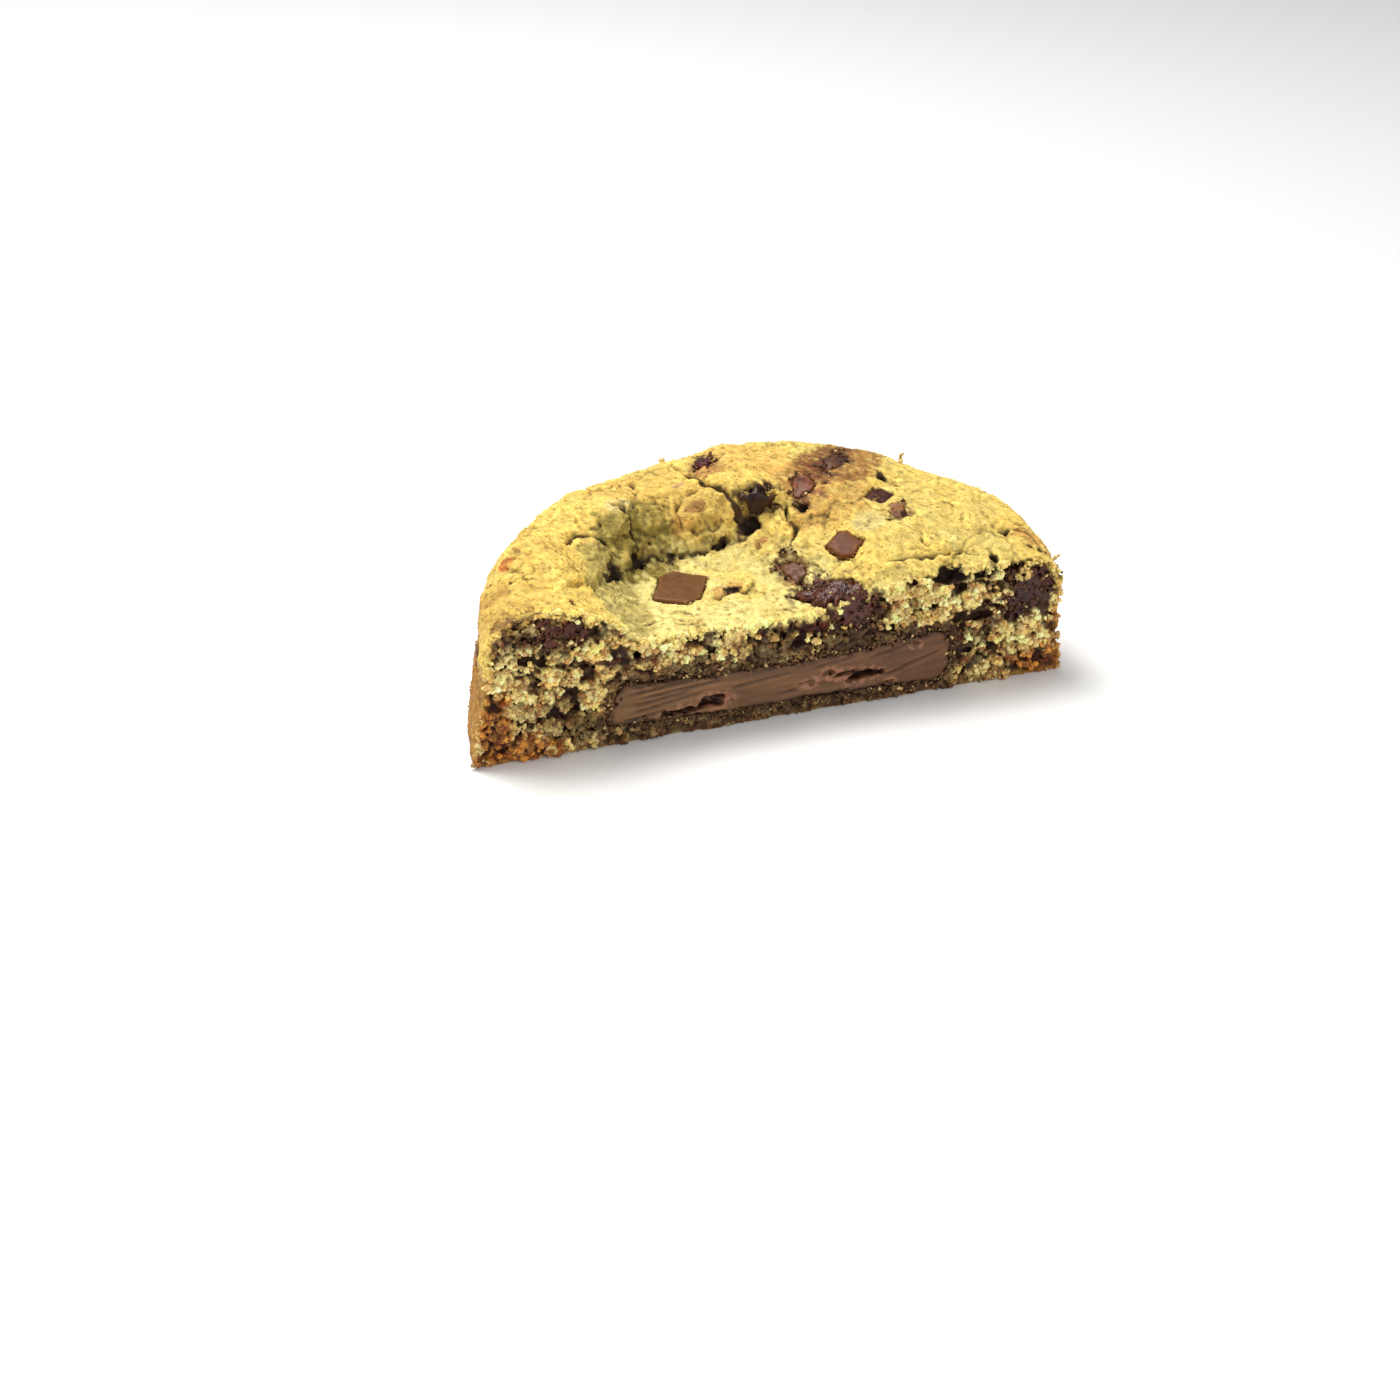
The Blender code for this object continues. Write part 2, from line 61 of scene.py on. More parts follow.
def hashed(cell, seed):
    """A whole number from 0 to 4095 for each cell."""
    c = cell.astype(np.int64)
    h = c[:, 0] * 0x8DA6B343 ^ c[:, 1] * 0xD8163841 ^ c[:, 2] * 0xCB1AB31F ^ (seed * 0x9E3779B9)
    h &= 0xFFFFFFFF
    h ^= h >> 13
    h = (h * 0x5BD1E995) & 0xFFFFFFFF
    h ^= h >> 15
    return h & 4095


GRADIENTS = np.random.default_rng(1).normal(size=(4096, 3))
GRADIENTS = (GRADIENTS / np.linalg.norm(GRADIENTS, axis=1)[:, None]).astype(np.float32)
JITTER = np.random.default_rng(2).random((4096, 4)).astype(np.float32)


def perlin(p, size, seed=0):
    """Smooth noise, about -1 to 1, whose lumps are size across."""
    q = (p / np.float32(size) + np.float32(seed * 3.17)).astype(np.float32)
    base = np.floor(q)
    f = q - base
    base = base.astype(np.int64)
    u = f * f * f * (f * (f * 6 - 15) + 10)
    total = np.zeros(len(p), np.float32)
    for corner in np.ndindex(2, 2, 2):
        g = GRADIENTS[hashed(base + np.array(corner), seed)]
        w = np.ones(len(p), np.float32)
        for k in range(3):
            w *= u[:, k] if corner[k] else 1 - u[:, k]
        total += w * ((f - np.array(corner, np.float32)) * g).sum(1)
    return total * 1.7


def fbm(p, size, octaves, seed=0):
    """Noise of several sizes, each half the one before."""
    total, weight = 0, 1.0
    for k in range(octaves):
        total = total + weight * perlin(p, size / 2**k, seed + k)
        weight *= 0.5
    return total / (2 - 2 * weight)


def warped(p, size, amount, seed):
    """The points, each moved by smooth noise."""
    return (p + amount * np.stack([perlin(p, size, seed + k) for k in range(3)], axis=1)).astype(np.float32)


def worley(p, size, seed=0):
    """Distances to the two nearest grains, over size, and the nearest one's four random numbers."""
    q = (p / np.float32(size)).astype(np.float32)
    base = np.floor(q).astype(np.int64)
    f = (q - base).astype(np.float32)
    one = np.full(len(p), 9, np.float32)
    two = one.copy()
    which = np.zeros(len(p), np.int64)
    for shift in np.ndindex(3, 3, 3):
        shift = np.array(shift) - 1
        h = hashed(base + shift, seed)
        away = JITTER[h, :3] + shift.astype(np.float32) - f
        d = np.sqrt((away * away).sum(1))
        closer = d < one
        two = np.where(closer, one, np.minimum(two, d))
        which = np.where(closer, h, which)
        one = np.where(closer, d, one)
    return one, two, JITTER[which]


def smooth(t):
    t = np.clip(t, 0, 1)
    return t * t * (3 - 2 * t)


def mix(a, b, t):
    return a + (b - a) * t


def bell(t):
    """1 where t is 0, and almost 0 where it is past 2."""
    return np.exp(-(t**2))


def taper(along, ends):
    """1 along the middle of a line, easing to 0 over that share of it at both ends."""
    return smooth(along / ends) * smooth((1 - along) / ends)


def smooth_max(a, b, k):
    """The larger of two distances, with their edge rounded to radius k."""
    both = np.sqrt(np.maximum(a + k, 0) ** 2 + np.maximum(b + k, 0) ** 2) - k
    return np.where((a > -k) & (b > -k), both, np.maximum(a, b))


def linear(*srgb):
    """A colour given as it looks, 0 to 255, as the linear value that materials take."""
    c = np.array(srgb, float) / 255
    return np.where(c <= 0.04045, c / 12.92, ((c + 0.055) / 1.055) ** 2.4)


# The cookie's main form, as in the solid

SHOULDER_RADIUS, BELLY_RADIUS, SUNKEN_HEIGHT, SHOULDER_DROP = 44.0, 45.7, 16.9, 7.0
RIM_HEIGHTS = {
    **{-30: 21.0, 0: 20.6, 9: 23.0, 22: 24.9, 40: 24.8, 60: 26.2, 86: 25.7},
    **{98: 23.9, 112: 23.6, 128: 24.6, 150: 23.8, 165: 23.6, 180: 23.2, 210: 23.0},
}
GIRTHS = {
    **{-30: 0.995, 0: 0.995, 15: 1.004, 60: 0.998, 90: 1.0},
    **{130: 0.995, 150: 1.0, 165: 1.022, 180: 1.036, 210: 1.036},
}
FOOT_CRACK = [
    *[(-27.4, 11.0), (-24.8, 13.6), (-22.4, 15.4), (-19.8, 16.8), (-17.8, 19.0)],
    *[(-16.2, 20.4), (-12.8, 20.1), (-8.6, 20.6), (-3.8, 21.4), (1.0, 21.6)],
]
SPLIT_CRACK = [
    *[(-5.6, 38.0), (-4.9, 35.6), (-4.1, 31.9), (-3.7, 27.8)],
    *[(-1.8, 25.6), (-0.6, 23.1), (1.6, 21.4)],
]
LOBE_RISE, LOBE_FOLD_X, LOBE_FOLD_SLANT = 3.3, -23.8, 0.32
FILLING_RADIUS, FILLING_X, FILLING_Y, FILLING_SLANT = 26.6, -0.7, 0.45, 2.2
FILLING_LOW, FILLING_HIGH = 2.6, 9.6


def angle_of(x, y):
    """Degrees round the axis, from -90 to 270."""
    angle = np.degrees(np.arctan2(y, x))
    return np.where(angle < -90, angle + 360, angle)


def by_angle(table, x, y):
    angle = np.clip(angle_of(x, y), min(table), max(table))
    return np.interp(angle, list(table), list(table.values()))


def line_distance(x, y, line):
    """Distance to a line of points, which side (1 is its left), and how far along it, from 0 to 1."""
    nearest = np.full(np.shape(x), 1e9)
    side = np.zeros(np.shape(x))
    along = np.zeros(np.shape(x))
    lengths = [math.dist(a, b) for a, b in zip(line[:-1], line[1:])]
    run = 0.0
    for (ax, ay), (bx, by), length in zip(line[:-1], line[1:], lengths):
        dx, dy = bx - ax, by - ay
        share = np.clip(((x - ax) * dx + (y - ay) * dy) / (dx * dx + dy * dy), 0, 1)
        away = np.hypot(x - ax - share * dx, y - ay - share * dy)
        closer = away < nearest
        side = np.where(closer, np.sign(dx * (y - ay) - dy * (x - ax)), side)
        along = np.where(closer, (run + share * length) / sum(lengths), along)
        nearest = np.where(closer, away, nearest)
        run += length
    return nearest, side, along


def crest_height(x, y, lobe_edge=1.2):
    """The top crust's height with the rim's shoulder left out."""
    radius = np.hypot(x, y)
    leftness = smooth((angle_of(x, y) - 20) / 130)
    starts, ends = mix(2.0, 21.0, leftness), mix(22.0, 36.5, leftness)
    height = mix(SUNKEN_HEIGHT, by_angle(RIM_HEIGHTS, x, y), smooth((radius - starts) / (ends - starts)))
    away, side, _ = line_distance(x, y, FOOT_CRACK)
    lobe_ends = smooth((8 - x) / 6) * smooth((x + 29) / 12)
    over_lobe = smooth(away / lobe_edge) * bell(away / 9.0) * lobe_ends
    height = height + np.where(side > 0, LOBE_RISE * over_lobe, -1.0 * bell(away / 6.0))
    behind = LOBE_FOLD_X - LOBE_FOLD_SLANT * y - x
    fold = smooth(behind / 2.6) * smooth((22 - y) / 5) * smooth((y + 6) / 3)
    return height + 1.8 * fold * bell((behind - 4.0) / 6.5)


def side_radius(share):
    return SHOULDER_RADIUS + smooth(1 - share) * (BELLY_RADIUS - SHOULDER_RADIUS)


def body_distance(x, y, z):
    """About how far each point lies outside the uncut round, with its edges rounded."""
    crest = crest_height(x, y)
    r = np.hypot(x, y)
    girth = mix(1, by_angle(GIRTHS, x, y), smooth(r / SHOULDER_RADIUS))
    outside = r / girth - side_radius(np.clip(z / (crest - SHOULDER_DROP), 0, 1))
    return smooth_max(smooth_max((z - crest) * 0.93, outside, 6.0), -z, 0.9)


def filling_distance(x, y, z):
    """About how far each point lies outside the uncut chocolate disc."""
    across = (x - FILLING_X) / FILLING_RADIUS
    low = FILLING_LOW - 0.9 * np.maximum(across, 0) ** 2 + 0.9 * np.maximum(-across, 0) ** 2
    high = FILLING_HIGH + 0.9 * np.maximum(across, 0) ** 2 - 0.5 * np.cos(1.9 * across)
    share = (z - low) / (high - low)
    slanted = x - FILLING_X - (share - 0.5) * FILLING_SLANT * np.maximum(-across, 0) ** 4
    outside = np.hypot(slanted, y - FILLING_Y) - FILLING_RADIUS
    return smooth_max(np.maximum(z - high, low - z), outside, mix(1.3, 3.0, smooth((x - 12) / 10)))


# Chunks: where they are, and their colours. Places, sizes and turns are those of the solids

# x, y, how far the centre lies under the crust, size, and turns about z, x and y
TOP_BLOCKS = {
    "chunk_middle": (-12.8, 13.2, 1.5, (8.6, 6.8, 4.2), (62, 2, -3)),
    "chunk_right": (12.0, 9.8, 1.55, (3.8, 4.6, 4.0), (25, 2, -16)),
    "chunk_pit": (20.9, 18.2, 1.6, (3.8, 2.9, 3.0), (38, 6, -10)),
}
TOP_MELTS = {
    "melt_streak": (4.3, 11.8, 0.5, (2.8, 6.2, 2.8), (19, 4, 6)),
    "melt_crack": (2.2, 22.0, 1.5, (5.2, 4.6, 3.8), (-12, 20, 0)),
    "melt_back": (18.0, 28.9, 0.7, (6.8, 3.4, 3.0), (34, -10, 0)),
    "melt_rim": (-0.9, 35.6, 0.6, (3.2, 3.0, 3.0), (0, -10, 0)),
    "melt_speckled": (10.7, 23.0, 0.5, (3.2, 6.0, 2.8), (-37, 4, -10)),
    "melt_slope": (21.4, 12.9, 0.5, (2.0, 4.2, 2.4), (-27, 4, -4)),
}
# x, z, how far the centre lies behind the cut, size and turns
CUT_MELTS = {
    "melt_front": (8.6, 16.5, 2.7, (12.0, 6.6, 5.8), (-33, 10, 10)),
    "melt_cut_right": (38.2, 15.2, 1.2, (9.4, 6.0, 7.4), (0, 0, -24)),
    "melt_cut_left": (-36.0, 20.4, 0.6, (8.4, 4.6, 3.6), (0, 0, 14)),
}
# angle round the axis, height, how far the centre lies inside the baked side, size and turns
SIDE_BLOCKS = {
    "chunk_side_a": (168.5, 13.2, 1.0, (2.6, 3.0, 3.2), (0, 5, 0)),
    "chunk_side_b": (134.0, 14.6, 1.65, (4.2, 5.6, 6.0), (0, 12, 4)),
    "chunk_side_c": (112.0, 7.2, 1.5, (3.8, 6.6, 4.6), (0, 20, 4)),
    "chunk_side_d": (86.0, 14.2, 1.5, (3.8, 5.0, 5.6), (0, 34, 0)),
    "chunk_side_e": (59.0, 7.6, 1.7, (4.2, 6.8, 5.2), (0, -15, 3)),
    "chunk_side_f": (33.0, 13.0, 1.6, (4.0, 4.6, 5.0), (0, 24, 0)),
}
# The chunk's main colour, the colour of its streaks and lumps, and how dull it is, from 0 to 1
CHUNK_LOOKS = {
    "chunk_middle": (linear(104, 66, 32), linear(114, 76, 40), 0.8),
    "chunk_right": (linear(96, 50, 18), linear(124, 74, 36), 0.85),
    "chunk_pit": (linear(58, 28, 22), linear(88, 50, 34), 0.3),
    "melt_streak": (linear(104, 62, 36), linear(74, 28, 16), 0.55),
    "melt_crack": (linear(40, 14, 12), linear(60, 26, 20), 0.05),
    "melt_back": (linear(92, 56, 34), linear(52, 22, 14), 0.6),
    "melt_rim": (linear(72, 14, 10), linear(46, 10, 8), 0.3),
    "melt_speckled": (linear(112, 58, 28), linear(66, 26, 14), 0.6),
    "melt_slope": (linear(132, 88, 48), linear(88, 50, 26), 0.7),
    "melt_front": (linear(80, 36, 22), linear(46, 12, 8), 0.15),
    "melt_cut_right": (linear(66, 22, 12), linear(40, 10, 6), 0.6),
    "melt_cut_left": (linear(80, 32, 16), linear(46, 14, 8), 0.75),
}
SIDE_LOOK = (linear(108, 66, 36), linear(124, 80, 46), 0.75)
# How far each melted chunk's top stands over the crust round it
MELT_LIFTS = {"melt_crack": -0.4, "melt_front": 0.6, "melt_rim": 0.3}
BLOCK_LIFTS = {"chunk_middle": 0.45, "chunk_right": 0.2, "chunk_pit": 0.1}
FLUSH_LIFT, SIDE_LIFT = 0.0, 0.3
# How uneven a melted chunk is, and how far it falls into clumps, in millimetres
MELT_ROUGHNESS = {
    **{"melt_crack": (0.9, 0.9), "melt_front": (0.9, 1.2), "melt_cut_right": (1.0, 2.0)},
    **{"melt_cut_left": (1.0, 2.1), "melt_speckled": (0.7, 1.7), "melt_back": (0.8, 1.2)},
    **{"melt_rim": (0.8, 0.9), "melt_streak": (0.8, 0.6), "melt_slope": (0.7, 0.8)},
}


def top_place(x, y, under, turns):
    return (x, y, float(crest_height(np.array(x), np.array(y))) - under), turns


def cut_place(x, z, behind, turns):
    return (x, behind, z), turns


def side_place(angle, height, inwards, turns):
    a = math.radians(angle)
    out = np.array([math.cos(a), math.sin(a)])
    shoulder = float(crest_height(*(out * SHOULDER_RADIUS))) - SHOULDER_DROP
    radius = float(side_radius(np.array(height / shoulder)) * by_angle(GIRTHS, *out)) - inwards
    return (*(out * radius), height), (angle + turns[0], *turns[1:])


def chunk_list():
    """name: (kind, centre, size, matrix from the chunk's own directions to the cut's frame)"""
    made = {}
    kinds = (
        (TOP_BLOCKS, top_place, "block"),
        (SIDE_BLOCKS, side_place, "block"),
        (TOP_MELTS, top_place, "melt"),
        (CUT_MELTS, cut_place, "melt"),
    )
    for table, placing, kind in kinds:
        for name, (a, b, c, size, turns) in table.items():
            centre, (turn, tilt_x, tilt_y) = placing(a, b, c, turns)
            turned = Matrix.Identity(3)
            for angle, axis in ((turn, "Z"), (tilt_y, "Y"), (tilt_x, "X")):
                turned = turned @ Matrix.Rotation(math.radians(angle), 3, axis)
            made[name] = (kind, np.array(centre), np.array(size), np.array(turned))
    return made


CHUNKS = chunk_list()


def near_chunk(name, p, margin):
    """Which points lie within about that margin of the chunk."""
    _, centre, size, _ = CHUNKS[name]
    return np.abs(p - centre).max(1) < size.max() / 2 + margin


def chunk_distance(name, p):
    """About how far each point lies outside that chunk."""
    kind, centre, size, turned = CHUNKS[name]
    q = ((p - centre) @ turned).astype(np.float32)
    seed = 40 + sum(map(ord, name)) % 50
    if kind == "block":
        half = size / 2
        edge = 0.25
        uneven = 1 + (0.1 if name == "chunk_middle" else 0.22) * perlin(q, 3.8, seed)
        d = np.abs(q) * uneven[:, None] - half + edge
        solid = np.sqrt((np.maximum(d, 0) ** 2).sum(1)) + np.minimum(d.max(1), 0) - edge
        corner = np.abs(q[:, 0] / half[0] + q[:, 1] / half[1]) * half[:2].min() / math.sqrt(2)
        broken = corner - 1.56 * half[:2].min() / math.sqrt(2)
        solid = np.maximum(solid, broken) - 0.12 * perlin(q, 1.6, seed + 1)
        over = body_distance(*p.T) - BLOCK_LIFTS.get(name, SIDE_LIFT)
        return smooth_max(solid, over - 0.15 * perlin(q, 1.6, seed + 2), 0.3)
    scaled = q / (size / 2)
    reach = np.sqrt((scaled**2).sum(1)) + 1e-6
    solid = (reach - 1) * size.min() / 2
    rough, clumped = MELT_ROUGHNESS.get(name, (0.8, 0.3))
    one, _, own = worley(warped(q, 1.4, 0.3, seed + 5), 1.4, seed + 4)
    lumps = perlin(q, 2.8, seed) + 0.5 * perlin(q, 1.2, seed + 1) + 0.25 * perlin(q, 0.6, seed + 3)
    solid = solid - rough * lumps
    solid = solid + clumped * (one - 0.45 + 0.8 * (own[:, 0] - 0.5))
    if name in TOP_MELTS or name == "melt_front":
        lift = MELT_LIFTS.get(name, FLUSH_LIFT)
        over = (p[:, 2] - crest_height(p[:, 0], p[:, 1]) - lift) * 0.93
        solid = smooth_max(solid, over - 0.22 * perlin(q, 1.3, seed + 2), 0.3)
    return solid


# From distances to surfaces


def axes_of(low, high, step):
    return [np.arange(a, b, step, dtype=np.float32) for a, b in zip(low, high)]


def cut_axes(low, high, step, fine_to, deep_step):
    """Axes whose places along y are further apart behind y = fine_to."""
    axes = axes_of(low, high, step)
    axes[1] = np.concatenate([np.arange(low[1], fine_to, step), np.arange(fine_to, high[1], deep_step)])
    axes[1] = axes[1].astype(np.float32)
    return axes


def points_of(axes):
    return np.stack(np.meshgrid(*axes, indexing="ij"), axis=-1).reshape(-1, 3)


def edge_ends(faces):
    """Both ends of each edge of the four-sided faces."""
    return np.concatenate([faces[:, [k, (k + 1) % 4]] for k in range(4)])


def largest_body(count, faces):
    """Which points belong to the largest joined piece."""
    ends = edge_ends(faces)
    label = np.arange(count)
    while True:
        low = np.minimum(label[ends[:, 0]], label[ends[:, 1]])
        new = label.copy()
        np.minimum.at(new, ends[:, 0], low)
        np.minimum.at(new, ends[:, 1], low)
        new = new[new]
        if (new == label).all():
            return label == np.bincount(label).argmax()
        label = new


def surface(field, axes):
    """Points and four-sided faces of the field's zero surface, its largest closed piece only."""
    grid = openvdb.FloatGrid()
    grid.background = 3.0
    grid.copyFromArray(np.ascontiguousarray(field, np.float32))
    points, _, quads = grid.convertToPolygons(isovalue=0.0, adaptivity=0.0)
    keep = largest_body(len(points), quads)
    quads = quads[keep[quads[:, 0]]]
    index = np.cumsum(keep) - 1
    places = points[keep].astype(np.float64)
    placed = [np.interp(places[:, k], np.arange(len(axes[k])), axes[k]) for k in range(3)]
    return np.stack(placed, axis=1), index[quads]


def point_normals(points, faces):
    corner = points[faces]
    n = np.cross(corner[:, 2] - corner[:, 0], corner[:, 3] - corner[:, 1])
    total = np.zeros((len(points), 3))
    for k in range(4):
        for axis in range(3):
            total[:, axis] += np.bincount(faces[:, k], n[:, axis], len(points))
    return total / np.maximum(np.linalg.norm(total, axis=1), 1e-9)[:, None]


def hollowness(points, faces, normal, rounds):
    """How deep each point lies, in millimetres, under the surface smoothed that many times."""
    ends = edge_ends(faces)
    count = np.maximum(np.bincount(ends[:, 0], minlength=len(points)), 1)
    eased = points.copy()
    for _ in range(rounds):
        for k in range(3):
            eased[:, k] = np.bincount(ends[:, 0], eased[ends[:, 1], k], len(points)) / count
    return ((eased - points) * normal).sum(1)


def mesh_object(name, points, faces, tint, gloss):
    mesh = bpy.data.meshes.new(name)
    faces = np.asarray(faces)
    mesh.vertices.add(len(points))
    mesh.vertices.foreach_set("co", ((points + ORIGIN) * 0.001).astype(np.float32).ravel())
    mesh.loops.add(faces.size)
    mesh.loops.foreach_set("vertex_index", faces.astype(np.int32).ravel())
    mesh.polygons.add(len(faces))
    mesh.polygons.foreach_set("loop_start", np.arange(0, faces.size, faces.shape[1], dtype=np.int32))
    mesh.update(calc_edges=True)
    mesh.validate()
    opaque = np.concatenate([np.clip(tint, 0.002, 1), np.ones((len(points), 1))], axis=1)
    layer = mesh.color_attributes.new("tint", "FLOAT_COLOR", "POINT")
    layer.data.foreach_set("color", opaque.astype(np.float32).ravel())
    layer = mesh.attributes.new("gloss", "FLOAT", "POINT")
    layer.data.foreach_set("value", np.clip(gloss, 0, 1).astype(np.float32))
    mesh.shade_smooth()
    obj = bpy.data.objects.new(name, mesh)
    bpy.context.scene.collection.objects.link(obj)
    return obj


# The dough: its crust, and the crumb that the knife tore open

AXES = cut_axes((-49.0, -2.4, -1.3), (48.4, 47.8, 29.4), STEP, fine_to=3.0, deep_step=STEP * 1.35)
# Open pits in the crust: x, y, how far the centre lies under the crust, and size
PITS = [
    (-22.6, 15.6, 0.8, (2.2, 1.6, 3.4)),
    (24.6, 0.5, 1.5, (5.2, 3.4, 2.7)),
    (29.4, 0.7, 1.7, (2.4, 2.2, 1.6)),
    (31.6, 0.9, 0.6, (1.3, 2.2, 2.6)),
    (1.2, 21.5, 0.5, (3.0, 2.2, 2.8)),
    (8.5, 18.6, 0.4, (1.3, 1.3, 2.6)),
    (-17.2, 19.6, 0.9, (2.2, 1.5, 3.6)),
    (-3.6, 21.2, 0.9, (2.8, 1.1, 3.0)),
    (-12.0, 20.0, 0.7, (1.3, 0.7, 2.0)),
    (23.4, 22.8, 0.3, (0.8, 1.9, 1.8)),
    (18.6, 9.6, 0.2, (0.9, 0.8, 1.4)),
    (-5.4, 10.6, 0.2, (1.6, 0.8, 1.4)),
]
# Creases and cracks in the crust: the line, half width and depth
CREASES = [
    (FOOT_CRACK, 0.26, 0.9),
    (SPLIT_CRACK, 0.4, 1.8),
    ([(-19.8, 25.8), (-18.4, 24.4), (-17.6, 21.8), (-16.6, 20.2)], 0.32, 1.4),
    ([(38.0, 8.6), (39.0, 6.6), (40.4, 4.4), (41.2, 2.4)], 0.3, 1.0),
    ([(5.2, 14.4), (6.6, 16.6), (6.0, 19.0), (6.6, 21.4)], 0.28, 1.0),
    ([(35.2, 5.2), (36.9, 6.3), (38.4, 5.2), (40.4, 5.4)], 0.4, 1.2),
    ([(-15.0, 22.6), (-16.4, 24.6), (-15.0, 27.6), (-13.2, 31.5), (-13.8, 36.5)], 0.28, 0.7),
    ([(-20.4, 17.0), (-22.6, 19.8), (-26.4, 21.0), (-28.6, 18.4)], 0.35, 1.0),
    ([(-9.0, 20.6), (-9.8, 24.4), (-7.6, 26.6), (-4.2, 27.4)], 0.25, 0.8),
    ([(-29.4, 16.4), (-28.4, 11.0), (-27.4, 7.2), (-26.6, 3.4)], 0.3, 0.9),
    ([(-9.4, 27.0), (-12.4, 27.4), (-14.8, 29.4)], 0.25, 0.7),
    ([(14.0, 3.4), (19.0, 2.8), (24.6, 2.6), (29.6, 3.4)], 0.3, 0.8),
    ([(-24.0, 6.0), (-20.6, 4.4), (-17.4, 4.8), (-14.6, 3.2)], 0.25, 0.7),
    ([(-9.0, 8.4), (-6.4, 10.2), (-3.4, 9.8), (-1.2, 11.4)], 0.3, 0.9),
    ([(-0.8, 36.6), (-1.6, 32.8), (0.2, 29.6), (1.2, 26.4)], 0.28, 0.6),
    ([(22.4, 7.2), (21.6, 4.8), (22.6, 2.6)], 0.25, 0.6),
    ([(30.0, 13.0), (30.6, 10.2), (29.6, 7.8)], 0.25, 0.5),
]
# Thin cracks in the baked side: first angle and height, last angle and height, sag
SIDE_CRACKS = [
    *[(150, 17, 118, 19, 4), (104, 16, 72, 12, -4), (64, 17, 40, 15, 3)],
    *[(128, 6, 104, 11, 2), (52, 5, 24, 9, -2), (94, 5, 74, 6, 1), (172, 8, 158, 15, 1)],
]
# The darker and lighter colour of each kind of mark in the crumb
MARK_COLOURS = {
    "choc_and_shade": (linear(52, 14, 8), linear(92, 40, 20)),
    "soaked": (linear(62, 40, 26), linear(108, 80, 50)),
    "caramel": (linear(112, 46, 12), linear(196, 132, 52)),
}
# Marks in the crumb of the cut face: kind, x, z, half width, half height, turn in degrees, strength
CUT_MARKS = [
    *[("choc_and_shade", -38.2, 20.4, 4.0, 2.0, 8, 0.75), ("choc_and_shade", -33.6, 19.8, 1.7, 1.3, 0, 0.9)],
    *[("choc_and_shade", -41.6, 22.4, 1.2, 0.7, 0, 0.8), ("choc_and_shade", -36.2, 17.4, 2.4, 0.9, 0, 0.55)],
    *[("choc_and_shade", -28.0, 14.2, 3.8, 0.75, -4, 0.95), ("choc_and_shade", -22.8, 13.8, 2.9, 0.8, 4, 0.85)],
    *[("choc_and_shade", -13.6, 14.9, 1.2, 0.6, 0, 0.8), ("choc_and_shade", -8.0, 14.0, 1.8, 0.8, 10, 0.7)],
    *[("soaked", -17.0, 11.2, 11.5, 1.4, 3, 0.85), ("soaked", -2.5, 11.8, 7.5, 2.3, 0, 0.9)],
    *[("soaked", 8.0, 11.8, 8.0, 2.1, 0, 0.9), ("soaked", 19.5, 11.4, 7.5, 1.2, -2, 0.85)],
    # the second mark on the line below, dark under the melted chunk at the top of the cut, is painted
    # shadow; the other choc marks are chocolate stains
    *[("choc_and_shade", -1.5, 16.2, 4.2, 1.8, 12, 0.8), ("choc_and_shade", 3.6, 15.4, 2.6, 2.6, -50, 1.0)],
    *[("choc_and_shade", 10.6, 16.8, 4.6, 1.7, -34, 0.9), ("choc_and_shade", 13.4, 12.2, 1.0, 0.6, 0, 0.8)],
    *[("soaked", -31.5, 4.2, 5.5, 2.4, 12, 0.85), ("choc_and_shade", -38.5, 6.4, 5.5, 2.8, -14, 0.5)],
    *[("choc_and_shade", -33.8, 8.8, 2.6, 1.2, 20, 0.5), ("caramel", -44.4, 6.0, 2.4, 7.0, 4, 0.9)],
    *[("caramel", -41.0, 2.0, 6.0, 2.0, 0, 0.85), ("choc_and_shade", 32.2, 10.6, 1.7, 1.6, 0, 0.85)],
    *[("choc_and_shade", 27.2, 9.6, 2.4, 1.1, -8, 0.85), ("choc_and_shade", 29.6, 4.4, 2.4, 1.7, 20, 0.75)],
    *[("choc_and_shade", 27.2, 6.6, 1.3, 2.8, 0, 0.8), ("choc_and_shade", 35.0, 2.0, 2.6, 0.9, 0, 0.6)],
    *[("choc_and_shade", 36.8, 16.8, 4.6, 1.6, 24, 0.9), ("choc_and_shade", 41.0, 12.6, 1.5, 4.0, 6, 0.85)],
    *[("choc_and_shade", 26.0, 13.4, 1.6, 0.6, 10, 0.6), ("choc_and_shade", 34.0, 19.2, 1.2, 0.8, 0, 0.7)],
    *[("caramel", 41.2, 2.4, 5.4, 2.6, 0, 0.9), ("caramel", 43.8, 6.5, 1.8, 5.0, 0, 0.75)],
]
